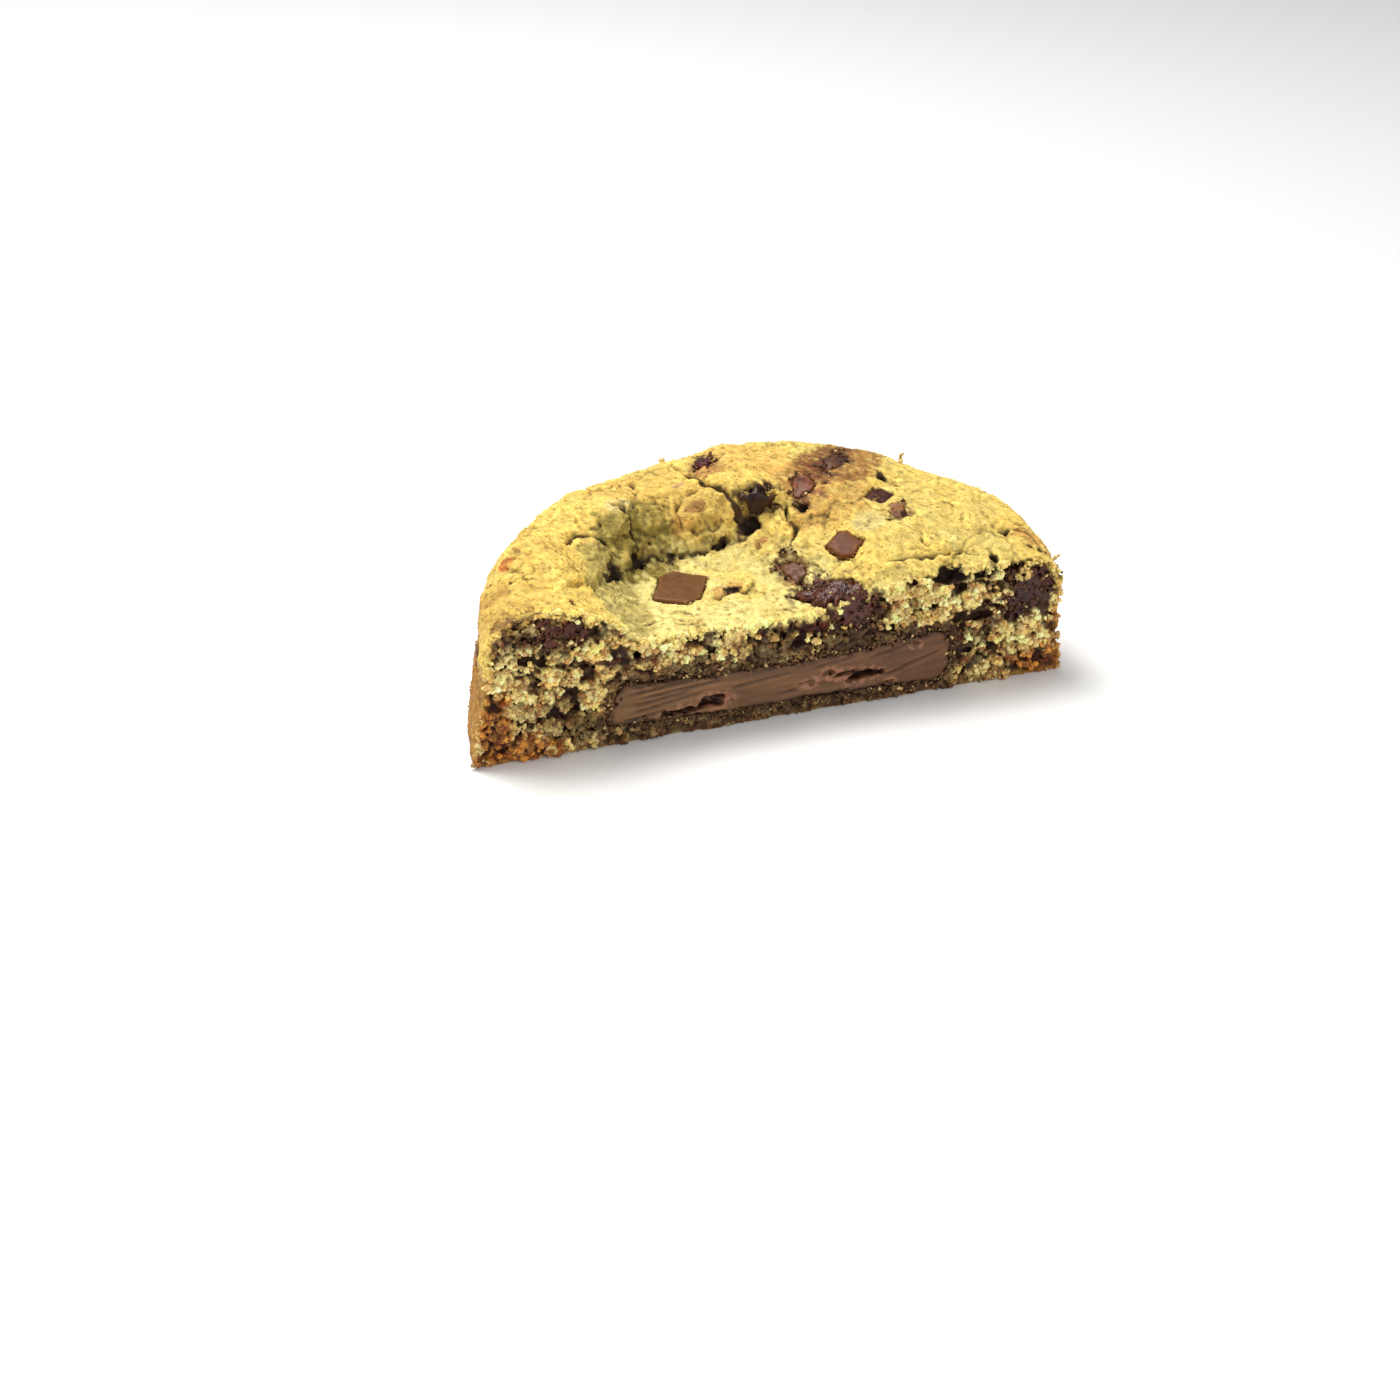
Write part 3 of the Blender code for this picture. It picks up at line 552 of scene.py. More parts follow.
# Patches of the crust: x, y, half sizes, turn in degrees, colour and strength
CRUST_PATCHES = [
    (17.0, 27.5, 10.5, 6.0, 25, (152, 104, 50), 0.85),
    (13.4, 18.8, 7.0, 5.0, 20, (172, 124, 62), 0.65),
    (4.5, 33.0, 7.5, 6.5, 0, (222, 176, 94), 0.7),
    (-9.6, 22.8, 1.7, 1.2, 0, (196, 126, 52), 0.8),
    (-38.6, 14.7, 0.9, 1.3, 0, (176, 92, 30), 0.9),
    (-8.5, 25.0, 7.5, 4.0, 0, (186, 152, 74), 0.7),
    # the olive patch below, at the lobe's front edge, is partly its own olive tone and partly painted shade
    # of that slope facing away from the light
    (-18.0, 20.5, 7.5, 4.6, 20, (136, 120, 54), 1.0),
    (-15.0, 32.0, 9.0, 4.6, 25, (206, 166, 84), 0.6),
    (0.6, 21.2, 1.9, 1.2, 20, (50, 18, 12), 0.95),
    (-19.0, 24.6, 2.2, 1.4, 30, (214, 196, 130), 0.8),
    (-6.4, 24.4, 1.6, 1.1, 0, (120, 66, 40), 0.7),
    (16.6, 30.4, 5.4, 3.0, 15, (112, 66, 34), 0.7),
    (13.6, 26.0, 2.6, 3.6, 0, (124, 66, 34), 0.75),
    (19.0, 24.4, 3.0, 2.0, 0, (138, 92, 48), 0.6),
    (-2.0, 33.0, 2.4, 4.4, 10, (138, 84, 52), 0.7),
    # the olive patch below, on the slope right of the fold, is partly its own olive tone and partly painted
    # shade of that slope facing away from the light
    (-23.2, 9.5, 4.0, 10.0, 5, (166, 150, 82), 0.85),
    (15.9, 11.2, 2.3, 2.6, 0, (196, 184, 126), 0.7),
    (-6.4, 10.6, 2.6, 1.5, 25, (190, 140, 72), 0.75),
    (3.2, 9.4, 1.5, 0.9, 0, (132, 62, 34), 0.8),
    (10.0, 19.6, 2.4, 1.6, 0, (160, 108, 66), 0.7),
    (1.8, 18.4, 0.9, 0.6, 0, (150, 92, 48), 0.8),
    (16.4, 20.4, 0.9, 0.7, 0, (110, 62, 44), 0.8),
    (-7.6, 29.6, 1.4, 0.8, 0, (158, 122, 96), 0.7),
    (39.8, 4.6, 3.4, 1.6, -20, (178, 124, 62), 0.7),
    (-43.0, 1.2, 1.4, 1.2, 0, (104, 56, 28), 0.8),
]


def crust_relief(p):
    """How far the crust stands out: lumps, torn flakes, sandy grain and small pores."""
    out = 0.45 * perlin(p, 7.5, 3) + 0.16 * perlin(p, 3.2, 8) + 0.06 * perlin(p, 1.5, 9)
    one, _, own = worley(p, 0.95, 5)
    out += 0.1 * (0.5 - one) + 0.1 * (own[:, 0] - 0.5)
    flakes = fbm(p, 4.6, 3, 19)
    out += 0.2 * (smooth((flakes - 0.12) / 0.04) + smooth((flakes + 0.2) / 0.04) - 1)
    pores = smooth((perlin(p, 0.95, 15) - 0.56) / 0.1) * smooth((perlin(p, 6.0, 16) + 0.05) / 0.4)
    return out - 0.32 * pores - 0.45 * crazing(p)


def crazing(p):
    """1 on the fine cracks that net parts of the crust, 0 elsewhere."""
    one, two, _ = worley(warped(p, 2.6, 0.9, 25), 5.2, 17)
    return bell((two - one) / 0.04) * smooth((perlin(p, 5.0, 18) - 0.08) / 0.2)


def crumb_grains(p):
    """The crumb's grains: the bent places to look them up at, and those of middle size."""
    bent = warped(warped(p, 2.3, 0.55, 61), 0.8, 0.16, 65)
    return bent, worley(bent, 1.25, 21)


def crumb_relief(p):
    """How far the torn crumb stands out: clumps and grains, the gaps between them, and holes torn out."""
    bent, (one, two, own) = crumb_grains(p)
    out = 0.35 * (0.5 - one) + 0.6 * (own[:, 0] - 0.5) - 0.6 * bell((two - one) / 0.1)
    big_one, big_two, big = worley(bent, 3.6, 22)
    out += 0.9 * (big[:, 0] - 0.45) - 0.9 * bell((big_two - big_one) / 0.06)
    small_one, _, small = worley(bent, 0.7, 23)
    out += 0.3 * (0.5 - small_one) + 0.45 * (small[:, 0] - 0.5)
    torn = fbm(p * np.array([0.8, 1, 1.15], np.float32), 3.0, 3, 31)
    return np.clip(out - 1.7 * smooth((torn - 0.21) / 0.14), -2.1, 0.95)


def near_filling(p):
    """1 where crumb has been pressed and soaked by the chocolate, 0 further off."""
    d = filling_distance(*p.T) + 0.5 * perlin(p, 2.4, 33)
    reach = np.where(p[:, 2] > 6, 2.6, 2.4)
    return 1 - smooth((d - 0.1) / reach)


def pit_distance(p, pit):
    """About how far each point lies outside that pit."""
    *place, size = pit
    centre, _ = top_place(*place, turns=None)
    q = (p - np.array(centre)) / (np.array(size) / 2)
    smooth_sided = (np.sqrt((q**2).sum(1)) - 1) * min(size) / 2
    p32 = p.astype(np.float32)
    return smooth_sided + 0.5 * perlin(p32, 1.4, 91) + 0.25 * perlin(p32, 0.6, 92)


def ragged(flat_x, flat_y):
    """The same places moved a little, so that cracks get torn edges, and how wide a crack is there."""
    flat = np.stack([flat_x.ravel(), flat_y.ravel(), np.zeros(flat_x.size)], axis=1).astype(np.float32)
    wander_x = 0.5 * perlin(flat, 2.6, 71) + 0.15 * perlin(flat, 0.95, 72)
    wander_y = 0.5 * perlin(flat, 2.6, 73) + 0.15 * perlin(flat, 0.95, 74)
    width = np.clip(1 + 0.9 * perlin(flat, 1.8, 75), 0.35, 2)
    shape = np.shape(flat_x)
    return flat_x + wander_x.reshape(shape), flat_y + wander_y.reshape(shape), width.reshape(shape)


def crack_depth(x, y, width):
    """How deep the creases cut the crust."""
    deepest = np.zeros(np.shape(x))
    for line, half, depth in CREASES:
        away, _, along = line_distance(x, y, line)
        cut = depth * taper(along, 0.12) * np.sqrt(width) * bell(away / (half * width))
        deepest = np.maximum(deepest, cut)
    return deepest


def cut_side_cracks(relief, p, near_surface):
    """Cuts the thin cracks of the baked side into the crust's relief."""
    angle = np.degrees(np.arctan2(p[:, 1], p[:, 0]))
    wave = 0.7 * perlin(p, 3.0, 81)
    for first, low, last, high, sag in SIDE_CRACKS:
        t = np.clip((angle - first) / (last - first), 0, 1)
        line_z = low + (high - low) * t + sag * 4 * t * (1 - t) + wave
        past = np.abs(angle - np.clip(angle, min(first, last), max(first, last))) * 0.78
        fade = near_surface * taper(t, 0.15)
        relief -= 0.8 * bell(np.hypot(p[:, 2] - line_z, past) / 0.42) * fade


def with_hollows(value, plain, p):
    """The dough's distances, value, with room for filling and chunks and with pits; plain has no relief."""
    fill = filling_distance(*p.T) + 0.3 * perlin(p, 1.5, 34)
    value = np.maximum(value, 0.12 - fill)
    for name in CHUNKS:
        near = near_chunk(name, p, 3)
        d = chunk_distance(name, p[near])
        lowered = (plain[near] + 0.15) + 0.25 * perlin(p[near], 0.9, 92)
        calm = 1 - smooth((d - 0.1) / 0.9)
        value[near] = mix(value[near], np.maximum(value[near], lowered), calm)
        value[near] = np.maximum(value[near], 0.05 - d)
    for pit in PITS:
        near = np.hypot(p[:, 0] - pit[0], p[:, 1] - pit[1]) < 5
        value[near] = np.maximum(value[near], -pit_distance(p[near], pit))
    return value


def dough_field():
    """How far each place of the grid lies outside the dough, to about 2.6 mm."""
    z = AXES[2][None, None, :]
    flat_x, flat_y = np.meshgrid(AXES[0], AXES[1], indexing="ij")
    torn_x, torn_y, width = ragged(flat_x, flat_y)
    crest = crest_height(torn_x, torn_y, lobe_edge=3.0)
    slope_x, slope_y = np.gradient(crest, AXES[0], AXES[1])
    lean = 1 / np.sqrt(1 + np.minimum(slope_x**2 + slope_y**2, 4))
    crest = crest - crack_depth(torn_x, torn_y, width)
    radius = np.hypot(flat_x, flat_y)
    girth = mix(1, by_angle(GIRTHS, flat_x, flat_y), smooth(radius / SHOULDER_RADIUS))
    shoulder = (crest_height(flat_x, flat_y) - SHOULDER_DROP)[:, :, None]
    outside = (radius / girth)[:, :, None] - side_radius(np.clip(z / shoulder, 0, 1))
    body = smooth_max((z - crest[:, :, None]) * lean[:, :, None], outside, 6.0)
    body = smooth_max(body, -z, 0.9).astype(np.float32)
    cut = np.broadcast_to(-AXES[1][None, :, None], body.shape)
    field = np.maximum(body, cut)

    band = np.abs(field) < 2.6
    band &= (cut > -2.6) | (np.abs(body) < 1.7)
    places = np.argwhere(band)
    p = np.stack([AXES[k][places[:, k]] for k in range(3)], axis=1)
    b, c = body[band], cut[band]
    on_cut = smooth((c - b + 0.35) / 0.9)
    on_base = smooth((1.2 - p[:, 2]) / 0.8)
    relief = np.zeros(len(p), np.float32)
    crusty, torn = on_cut < 1, on_cut > 0
    steep = smooth((0.95 - lean[places[crusty, 0], places[crusty, 1]]) / 0.4)
    crust = crust_relief(p[crusty]) + 0.8 * steep * fbm(p[crusty], 1.7, 2, 83)
    cut_side_cracks(crust, p[crusty], b[crusty] > -1.5)
    relief[crusty] = (crust * mix(1, 0.25, on_base[crusty])) * (1 - on_cut[crusty])
    crumb = crumb_relief(p[torn])
    crumb = mix(crumb, 0.32 * crumb - 0.05, near_filling(p[torn]))
    crumb *= 1 - 0.6 * smooth((b[torn] + 1.2) / 1.2)
    relief[torn] += crumb * on_cut[torn]

    field[band] = with_hollows(field[band] - relief, field[band], p)
    return field


def in_ellipse(u, v, mark, noise_here):
    """1 inside a turned, ragged-edged ellipse and 0 outside."""
    u0, v0, half_u, half_v, turn = mark
    a = math.radians(turn)
    along = (u - u0) * math.cos(a) + (v - v0) * math.sin(a)
    across = (v - v0) * math.cos(a) - (u - u0) * math.sin(a)
    reach = np.hypot(along / half_u, across / half_v)
    return smooth((1.15 - reach + noise_here) / 0.3)


# How the crust's colour deepens: from how well baked, over how far, and to what
CREAM = linear(230, 214, 136)
BAKED_STAGES = (
    (0, 0.25, linear(218, 194, 108)),
    (0.2, 0.35, linear(230, 198, 102)),
    (0.55, 0.45, linear(170, 120, 52)),
    (1.0, 0.5, linear(104, 60, 22)),
)


def crust_colour(p, hollow, deep_hollow):
    """Pale in the sunken middle, golden on the rim and brown low in the side, with darker cracks. The
    colour holds painted shade in hollows and cracks and painted light on bumps.
    """
    x, y, z = p.T
    r = np.hypot(x, y)
    fine = fbm(p, 1.1, 3, 101)
    middle = fbm(p, 4.6, 3, 111)
    wide = fbm(p, 13.0, 2, 121)
    sunk = (1 - smooth((z - 17.6) / 5.0)) * (1 - smooth((r - 33) / 7))
    baked = 0.47 - 0.42 * sunk + 0.26 * middle + 0.2 * wide
    baked += 0.38 * smooth((r - 38) / 6) * smooth((21.0 - z) / 13)
    baked += 0.14 * smooth((-x - 24) / 8) - 0.16 * smooth((x - 10) / 10) * (z > 18)
    baked += 0.12 * smooth((x - 32) / 6) + 0.1 * fine
    colour = CREAM
    for start, run, deeper in BAKED_STAGES:
        colour = mix(colour, deeper, smooth((baked - start) / run)[:, None])
    edge = 0.35 * middle + 0.45 * fine
    _, _, own = worley(p, 0.95, 5)
    for *mark, patch, strength in CRUST_PATCHES:
        near = (np.hypot(x - mark[0], y - mark[1]) < 2 * max(mark[2:4])) & (z > 12)
        here = in_ellipse(x[near], y[near], mark, edge[near])
        here = here * np.clip(0.5 + own[near, 2] + fine[near], 0, 1)
        uneven = linear(*patch) * (1 + 0.25 * fine[near, None])
        colour[near] = mix(colour[near], uneven, strength * here[:, None])
    colour = colour * (1 + 0.2 * fine + 0.24 * (own[:, 1] - 0.5))[:, None]
    sandy = smooth((perlin(p, 0.7, 133) + 0.1) / 0.5)[:, None]
    colour = mix(colour, colour * np.array([0.86, 0.76, 0.58]), 0.6 * sandy)
    low_edge = smooth((2.6 - z) / 2.4 + 0.3 * fine)[:, None]
    colour = mix(colour, linear(92, 54, 26), low_edge * 0.8)
    speck = smooth((perlin(p, 0.75, 131) - 0.42) / 0.12) * smooth((perlin(p, 4.2, 132) + 0.2) / 0.4)
    colour = mix(colour, linear(112, 62, 24), 0.65 * speck[:, None])
    # painted shade: darker in hollows and broad dips; painted light: a little brighter on bumps
    shade = 1 - 2.4 * np.clip(hollow, -0.1, 0.3) - 0.5 * np.clip(deep_hollow, -0.1, 0.8)
    colour = colour * np.clip(shade, 0.3, 1.25)[:, None]
    # painted shade: hollows also turn warm brown
    warm = smooth((hollow + 0.4 * deep_hollow - 0.16) / 0.3)[:, None]
    colour = mix(colour, linear(96, 54, 18), 0.5 * warm)
    # painted shade: the creases and the fine crazing are darkened to near black
    torn_x, torn_y, width = ragged(x, y)
    painted_crack_shade = smooth((crack_depth(torn_x, torn_y, width) - 0.4) / 0.5) * (z > 12)
    painted_crack_shade = np.maximum(painted_crack_shade, 0.45 * crazing(p))[:, None]
    return mix(colour, linear(48, 24, 10), 0.92 * painted_crack_shade)


def crumb_colour(p, crust, hollow, deep_hollow, body):
    """The torn crumb's colour, its gloss, and how stained with chocolate it is. The colour holds painted
    shade, deeper behind the cut and in hollows, and painted light where the crumb stands proud.
    """
    x, y, z = p.T
    middle = fbm(p, 4.6, 3, 111)
    _, (_, _, own) = crumb_grains(p)
    _, _, small = worley(p, 0.66, 24)
    cream, warm = linear(250, 232, 158), linear(234, 192, 106)
    sage, tan = linear(186, 164, 96), linear(158, 104, 48)
    tone = own[:, 1:2] * 1.1 + 0.35 * middle[:, None] - 0.1
    colour = mix(cream, sage, smooth(tone))
    colour = mix(colour, warm, 0.8 * smooth((own[:, 2:3] - 0.45) / 0.3))
    colour = mix(colour, tan, smooth((small[:, 1:2] - 0.72) / 0.15))
    colour = colour * (0.75 + 0.5 * small[:, :1])
    freckle = smooth((small[:, 2:3] - 0.86) / 0.06)
    colour = mix(colour, linear(112, 64, 30), 0.8 * freckle)

    edge = 0.4 * middle + 0.7 * (own[:, 3] - 0.5) + 0.3 * (small[:, 3] - 0.5)
    gloss = np.zeros(len(p))
    pressed = near_filling(p)[:, None]
    soak = mix(linear(54, 32, 22), linear(98, 74, 50), smooth(small[:, 1:2] * 1.2 - 0.1))
    soak = np.where(z[:, None] < 5, mix(soak, linear(84, 74, 44), 0.45), soak)
    colour = mix(colour, soak, 0.95 * pressed)
    stained = pressed[:, 0].copy()
    for kind, *mark, strength in CUT_MARKS:
        here = in_ellipse(x, z, mark, edge)[:, None] * strength
        mark_colour = mix(*MARK_COLOURS[kind], smooth(small[:, 1:2] * 1.4 - 0.3))
        colour = mix(colour, mark_colour, here)
        stained = np.maximum(stained, here[:, 0])
        if kind == "choc_and_shade":
            gloss = np.maximum(gloss, 0.6 * here[:, 0])
    # the baked skin seen edge on
    skin = 1 - smooth((-body - 0.4) / (1.3 + 0.6 * middle))
    top_skin = (skin * smooth((z - 6) / 6))[:, None]
    colour = mix(colour, crust, 0.8 * top_skin)
    under = (smooth((2.9 - z) / 1.2) * smooth((30 - np.abs(x)) / 4))[:, None]
    under_colour = mix(linear(70, 40, 26), linear(112, 84, 52), smooth(own[:, :1] * 1.6 - 0.4))
    colour = mix(colour, under_colour, 0.8 * under)
    stained = np.maximum(stained, 0.7 * under[:, 0])
    foot = (skin * smooth((3.0 - z) / 2.2))[:, None]
    at_end = smooth((np.abs(x) - 30) / 8)[:, None]
    foot_dark = mix(linear(58, 20, 12), linear(140, 78, 26), at_end)
    foot_light = mix(linear(104, 66, 36), linear(164, 104, 42), at_end)
    foot_colour = mix(foot_light, foot_dark, smooth(own[:, :1] * 2.0 - 0.2))
    colour = mix(colour, foot_colour, 0.9 * foot)

    # painted shade: darker, and then dark red-brown, the deeper the crumb lies behind the cut, and darker
    # in its hollows; painted light: brighter where it stands proud of the cut
    depth = smooth((y + 0.05) / 1.2)
    shade = 1 - 3.0 * np.clip(hollow, -0.12, 0.3) - 0.6 * np.clip(deep_hollow, -0.2, 1.0)
    colour = colour * np.clip(mix(1.25, 0.16, depth) * shade, 0.05, 1.4)[:, None]
    return mix(colour, linear(50, 12, 6), 0.65 * depth[:, None]), gloss, stained


def dough_tint(p, hollow, deep_hollow):
    """Colour, gloss and how stained with chocolate the dough is at its points. The colour holds painted
    shade, and the pits' painted shade counts as stained.
    """
    x, y, z = p.T
    p32 = p.astype(np.float32)
    body = body_distance(x, y, z)
    on_cut = smooth((-y - body + 0.35 + 0.35 * perlin(p32, 1.1, 161)) / 0.7)
    crust = crust_colour(p32, hollow, deep_hollow)
    crumb, gloss, stained = crumb_colour(p32, crust, hollow, deep_hollow, body)
    tint = mix(crust, crumb, on_cut[:, None])
    gloss = gloss * on_cut
    stained = stained * on_cut
    # painted shade: the open pits' insides are near black, and they count as stained
    for pit in PITS:
        near = np.hypot(x - pit[0], y - pit[1]) < 4
        inside = 1 - smooth((pit_distance(p[near], pit) - 0.05) / 0.45)
        tint[near] = mix(tint[near], linear(34, 16, 8), 0.95 * inside[:, None])
        stained[near] = np.maximum(stained[near], inside)
    # chocolate smeared from the melted chunks, grain by grain
    _, _, own = worley(p32, 0.8, 27)
    for name, (kind, *_) in CHUNKS.items():
        near = near_chunk(name, p, 3)
        spread = 1.7 if kind == "melt" else 0.35
        d = chunk_distance(name, p[near]) + 1.3 * (own[near, 0] - 0.35) * (kind == "melt")
        smear = 1 - smooth((d - 0.15) / (spread - 0.15))
        stain = mix(*CHUNK_LOOKS.get(name, SIDE_LOOK)[:2], 0.6)
        tint[near] = mix(tint[near], stain * 0.9, 0.85 * smear[:, None])
        gloss[near] = np.maximum(gloss[near], 0.7 * smear * (kind == "melt"))
        stained[near] = np.maximum(stained[near], smear)
    return tint, gloss, stained


# Materials

# name: roughness where dull and where glossy, specular level, how far its colour varies, and bump
LOOKS = {
    "baked dough": (0.75, 0.3, 0.3, 0.2, 0.7),
    "crumb grains": (0.75, 0.5, 0.3, 0.14, 0.4),
    "milk chocolate filling": (0.5, 0.3, 0.3, 0.07, 0.22),
    "milk chocolate chunk": (0.6, 0.25, 0.3, 0.08, 0.25),
    "melted chocolate": (0.6, 0.16, 0.4, 0.12, 0.45),
}


def new_material(name):
    made = bpy.data.materials.new(name)
    made.use_nodes = True
    return made, made.node_tree, made.node_tree.nodes["Principled BSDF"]


def noise_node(tree, scale, detail, rough=0.6):
    node = tree.nodes.new("ShaderNodeTexNoise")
    coordinates = tree.nodes.new("ShaderNodeTexCoord")
    tree.links.new(coordinates.outputs["Object"], node.inputs["Vector"])
    node.inputs["Scale"].default_value = scale
    node.inputs["Detail"].default_value = detail
    node.inputs["Roughness"].default_value = rough
    return node


def ramp(tree, source, low, high, to_low, to_high):
    node = tree.nodes.new("ShaderNodeMapRange")
    tree.links.new(source, node.inputs["Value"])
    node.inputs["From Min"].default_value, node.inputs["From Max"].default_value = low, high
    node.inputs["To Min"].default_value, node.inputs["To Max"].default_value = to_low, to_high
    return node.outputs["Result"]


def attribute_node(tree, name):
    node = tree.nodes.new("ShaderNodeAttribute")
    node.attribute_name = name
    return node


def tinted(name, dull, glossy, specular, grain, bump):
    """Each point's own colour, broken up by fine noise, and a fine bump; smoother where gloss is near 1."""
    made, tree, shader = new_material(name)
    shader.inputs["Specular IOR Level"].default_value = specular
    scaled = tree.nodes.new("ShaderNodeVectorMath")
    scaled.operation = "SCALE"
    uneven = ramp(tree, noise_node(tree, 2400, 3).outputs["Fac"], 0.3, 0.7, 1 - grain, 1 + grain)
    roughness = ramp(tree, attribute_node(tree, "gloss").outputs["Fac"], 0, 1, dull, glossy)
    tree.links.new(attribute_node(tree, "tint").outputs["Color"], scaled.inputs[0])
    tree.links.new(uneven, scaled.inputs["Scale"])
    tree.links.new(scaled.outputs["Vector"], shader.inputs["Base Color"])
    tree.links.new(roughness, shader.inputs["Roughness"])
    lift = tree.nodes.new("ShaderNodeBump")
    lift.inputs["Strength"].default_value = bump
    lift.inputs["Distance"].default_value = 0.0003
    tree.links.new(noise_node(tree, 1700, 4, 0.7).outputs["Fac"], lift.inputs["Height"])
    tree.links.new(lift.outputs["Normal"], shader.inputs["Normal"])
    return made


# Pieces

# Tufts of crumb at the rim: where they stand and how far they reach
TUFTS = [
    ((29.7, 29.8, 22.3), (0.7, 0.7, 2.4)),
    ((42.0, 2.6, 18.2), (1.7, -0.3, 0.8)),
    ((-6.2, 40.2, 22.6), (-0.2, 0.4, 1.2)),
    ((-37.8, 21.5, 18.0), (-0.8, 0.4, 0.9)),
]


def dress(obj, look, node):
    """Gives the piece its material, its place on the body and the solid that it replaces."""
    obj.data.materials.append(bpy.data.materials.get(look) or tinted(look, *LOOKS[look]))
    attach(obj, "root")
    if node:
        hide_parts(node)


def dough():
    """Makes the dough and returns its points, their normals, colours and stains."""
    points, faces = surface(dough_field(), AXES)
    normal = point_normals(points, faces)
    hollow = hollowness(points, faces, normal, 3)
    deep_hollow = hollowness(points, faces, normal, 16)
    tint, gloss, stained = dough_tint(points, hollow, deep_hollow)
    obj = mesh_object("dough", points, faces, tint, gloss)
    dress(obj, "baked dough", "cookie")
    return points, normal, tint, stained


# Torn voids in the filling's cut face: x, z, half width, half height, depth
VOIDS = [
    *[(11.6, 4.9, 3.7, 0.9, 2.8), (8.4, 5.6, 2.4, 0.4, 1.2), (-14.6, 4.0, 5.6, 0.6, 2.2)],
    *[(-11.6, 5.1, 2.8, 0.6, 1.3), (2.8, 5.2, 1.7, 0.28, 0.7), (20.2, 9.0, 0.8, 0.4, 0.7)],
    *[(16.2, 2.9, 0.8, 0.45, 0.9), (6.2, 6.3, 1.2, 0.4, 0.8)],
]
# Grooves that the blade dragged across it: x and z of both ends
GROOVES = [
    *[(-26.0, 8.0, -12.0, 9.3), (-25.2, 4.9, -13.0, 6.7), (-24.0, 7.2, -10.0, 8.2), (-8.0, 8.2, 6.0, 9.6)],
    *[(12.0, 7.6, 24.0, 10.2), (14.6, 4.0, 25.0, 7.4), (-2.0, 4.0, 4.0, 4.8)],
    *[(-25.0, 6.0, -15.0, 7.4), (-26.0, 3.6, -19.0, 4.6), (-10.0, 6.4, 1.0, 7.6), (3.0, 7.4, 11.0, 8.6)],
]


def groove_strengths(x, z, halfway):
    """For each groove, the distance from its middle line and how strong it is at each place."""
    for x0, z0, x1, z1 in GROOVES:
        away, _, along = line_distance(x, z + halfway, [(x0, z0), (x1, z1)])
        yield away, taper(along, 0.2)


def filling_field(axes):
    """How far each place lies outside the chocolate, with the blade's marks and the torn voids."""
    p = points_of(axes)
    value = filling_distance(*p.T) + 0.06
    front = p[:, 1] < 2.4
    q = p[front]
    value[front] += 0.36 * perlin(q, 1.3, 204) + 0.32 * perlin(q, 4.2, 205)
    drag = perlin(q * np.array([0.1, 1.0, 1.0], np.float32) + 5, 0.8, 201)
    drag *= smooth((perlin(q, 7.0, 202) + 0.35) / 0.5)
    smear = perlin(q * np.array([0.3, 0.5, 1.0], np.float32), 2.6, 203)
    face = -q[:, 1] + 0.2 * drag + 0.16 * smear + 0.1
    for away, strength in groove_strengths(q[:, 0], q[:, 2], 0.15 * smear):
        face += (0.3 * bell(away / 0.22) - 0.16 * bell((away - 0.5) / 0.25)) * strength
    shreds = 0.4 * perlin(q * np.array([0.7, 1, 1.2], np.float32), 1.1, 211) + 0.22 * perlin(q, 0.5, 212)
    for x0, z0, wide, tall, deepness in VOIDS:
        across, up = q[:, 0] - x0, q[:, 2] - z0 - 0.06 * (q[:, 0] - x0)
        hole = np.sqrt((across / wide) ** 2 + (up / tall) ** 2 + (q[:, 1] / deepness) ** 2) - 1
        face = np.maximum(face, -(hole * 0.8 + 0.8 * shreds))
        lip = bell((np.hypot(across / wide, up / (tall * 2.2)) - 1) / 0.35)
        face -= 0.35 * lip * np.clip(shreds + 0.25, 0, 1)
    value[front] = np.maximum(value[front], face)
    return value.reshape([len(a) for a in axes])


def filling_colour(p, hollow):
    """The filling's colour, and how close each point is to a torn void. The colour holds painted shade in
    the grooves, in hollows and deep in the voids, and painted light on bumps.
    """
    x, y, z = p.T
    p32 = p.astype(np.float32)
    streak = perlin(p32 * np.array([0.12, 1.0, 1.0], np.float32), 0.9, 221)
    across = np.clip((x + 27) / 53, 0, 1)[:, None]
    tint = mix(linear(118, 84, 52), linear(102, 66, 41), across)
    tint = tint * (1 + 0.3 * streak + 0.14 * fbm(p32, 6.0, 2, 222))[:, None]
    low_down = smooth((4.4 - z + 0.6 * perlin(p32, 4.0, 223)) / 3.0)
    olive = low_down * smooth((x + 12) / 8) * smooth((20 - x) / 6)
    tint = mix(tint, linear(70, 60, 38), 0.7 * olive[:, None])
    # painted shade along the grooves' middle lines and in hollows, painted light on bumps
    for away, strength in groove_strengths(x, z, 0.15 * streak):
        tint = tint * (1 - 0.3 * bell(away / 0.24) * strength)[:, None]
    tint = tint * np.clip(1 - 3.2 * hollow, 0.3, 1.4)[:, None]
    near_void = np.zeros(len(p))
    for x0, z0, wide, tall, _ in VOIDS:
        reach = np.hypot((x - x0) / (wide + 0.8), (z - z0) / (tall + 1.1))
        near_void = np.maximum(near_void, 1 - smooth((reach - 0.6) / 0.5))
    shred = smooth((perlin(p32, 0.8, 224) + 0.1) / 0.3) * near_void
    tint = mix(tint, linear(172, 116, 88), 0.75 * shred[:, None])
    # painted shade: near black where the face lies deep in the torn voids
    void_depth_shade = smooth((y - 0.3) / 0.7)[:, None]
    tint = mix(tint, linear(40, 18, 12), 0.9 * void_depth_shade)
    rim = smooth((filling_distance(x, y, z) + 0.85 + 0.4 * perlin(p32, 1.3, 225)) / 0.7)[:, None]
    return mix(tint, linear(54, 34, 22), 0.75 * rim * (1 - void_depth_shade)), near_void


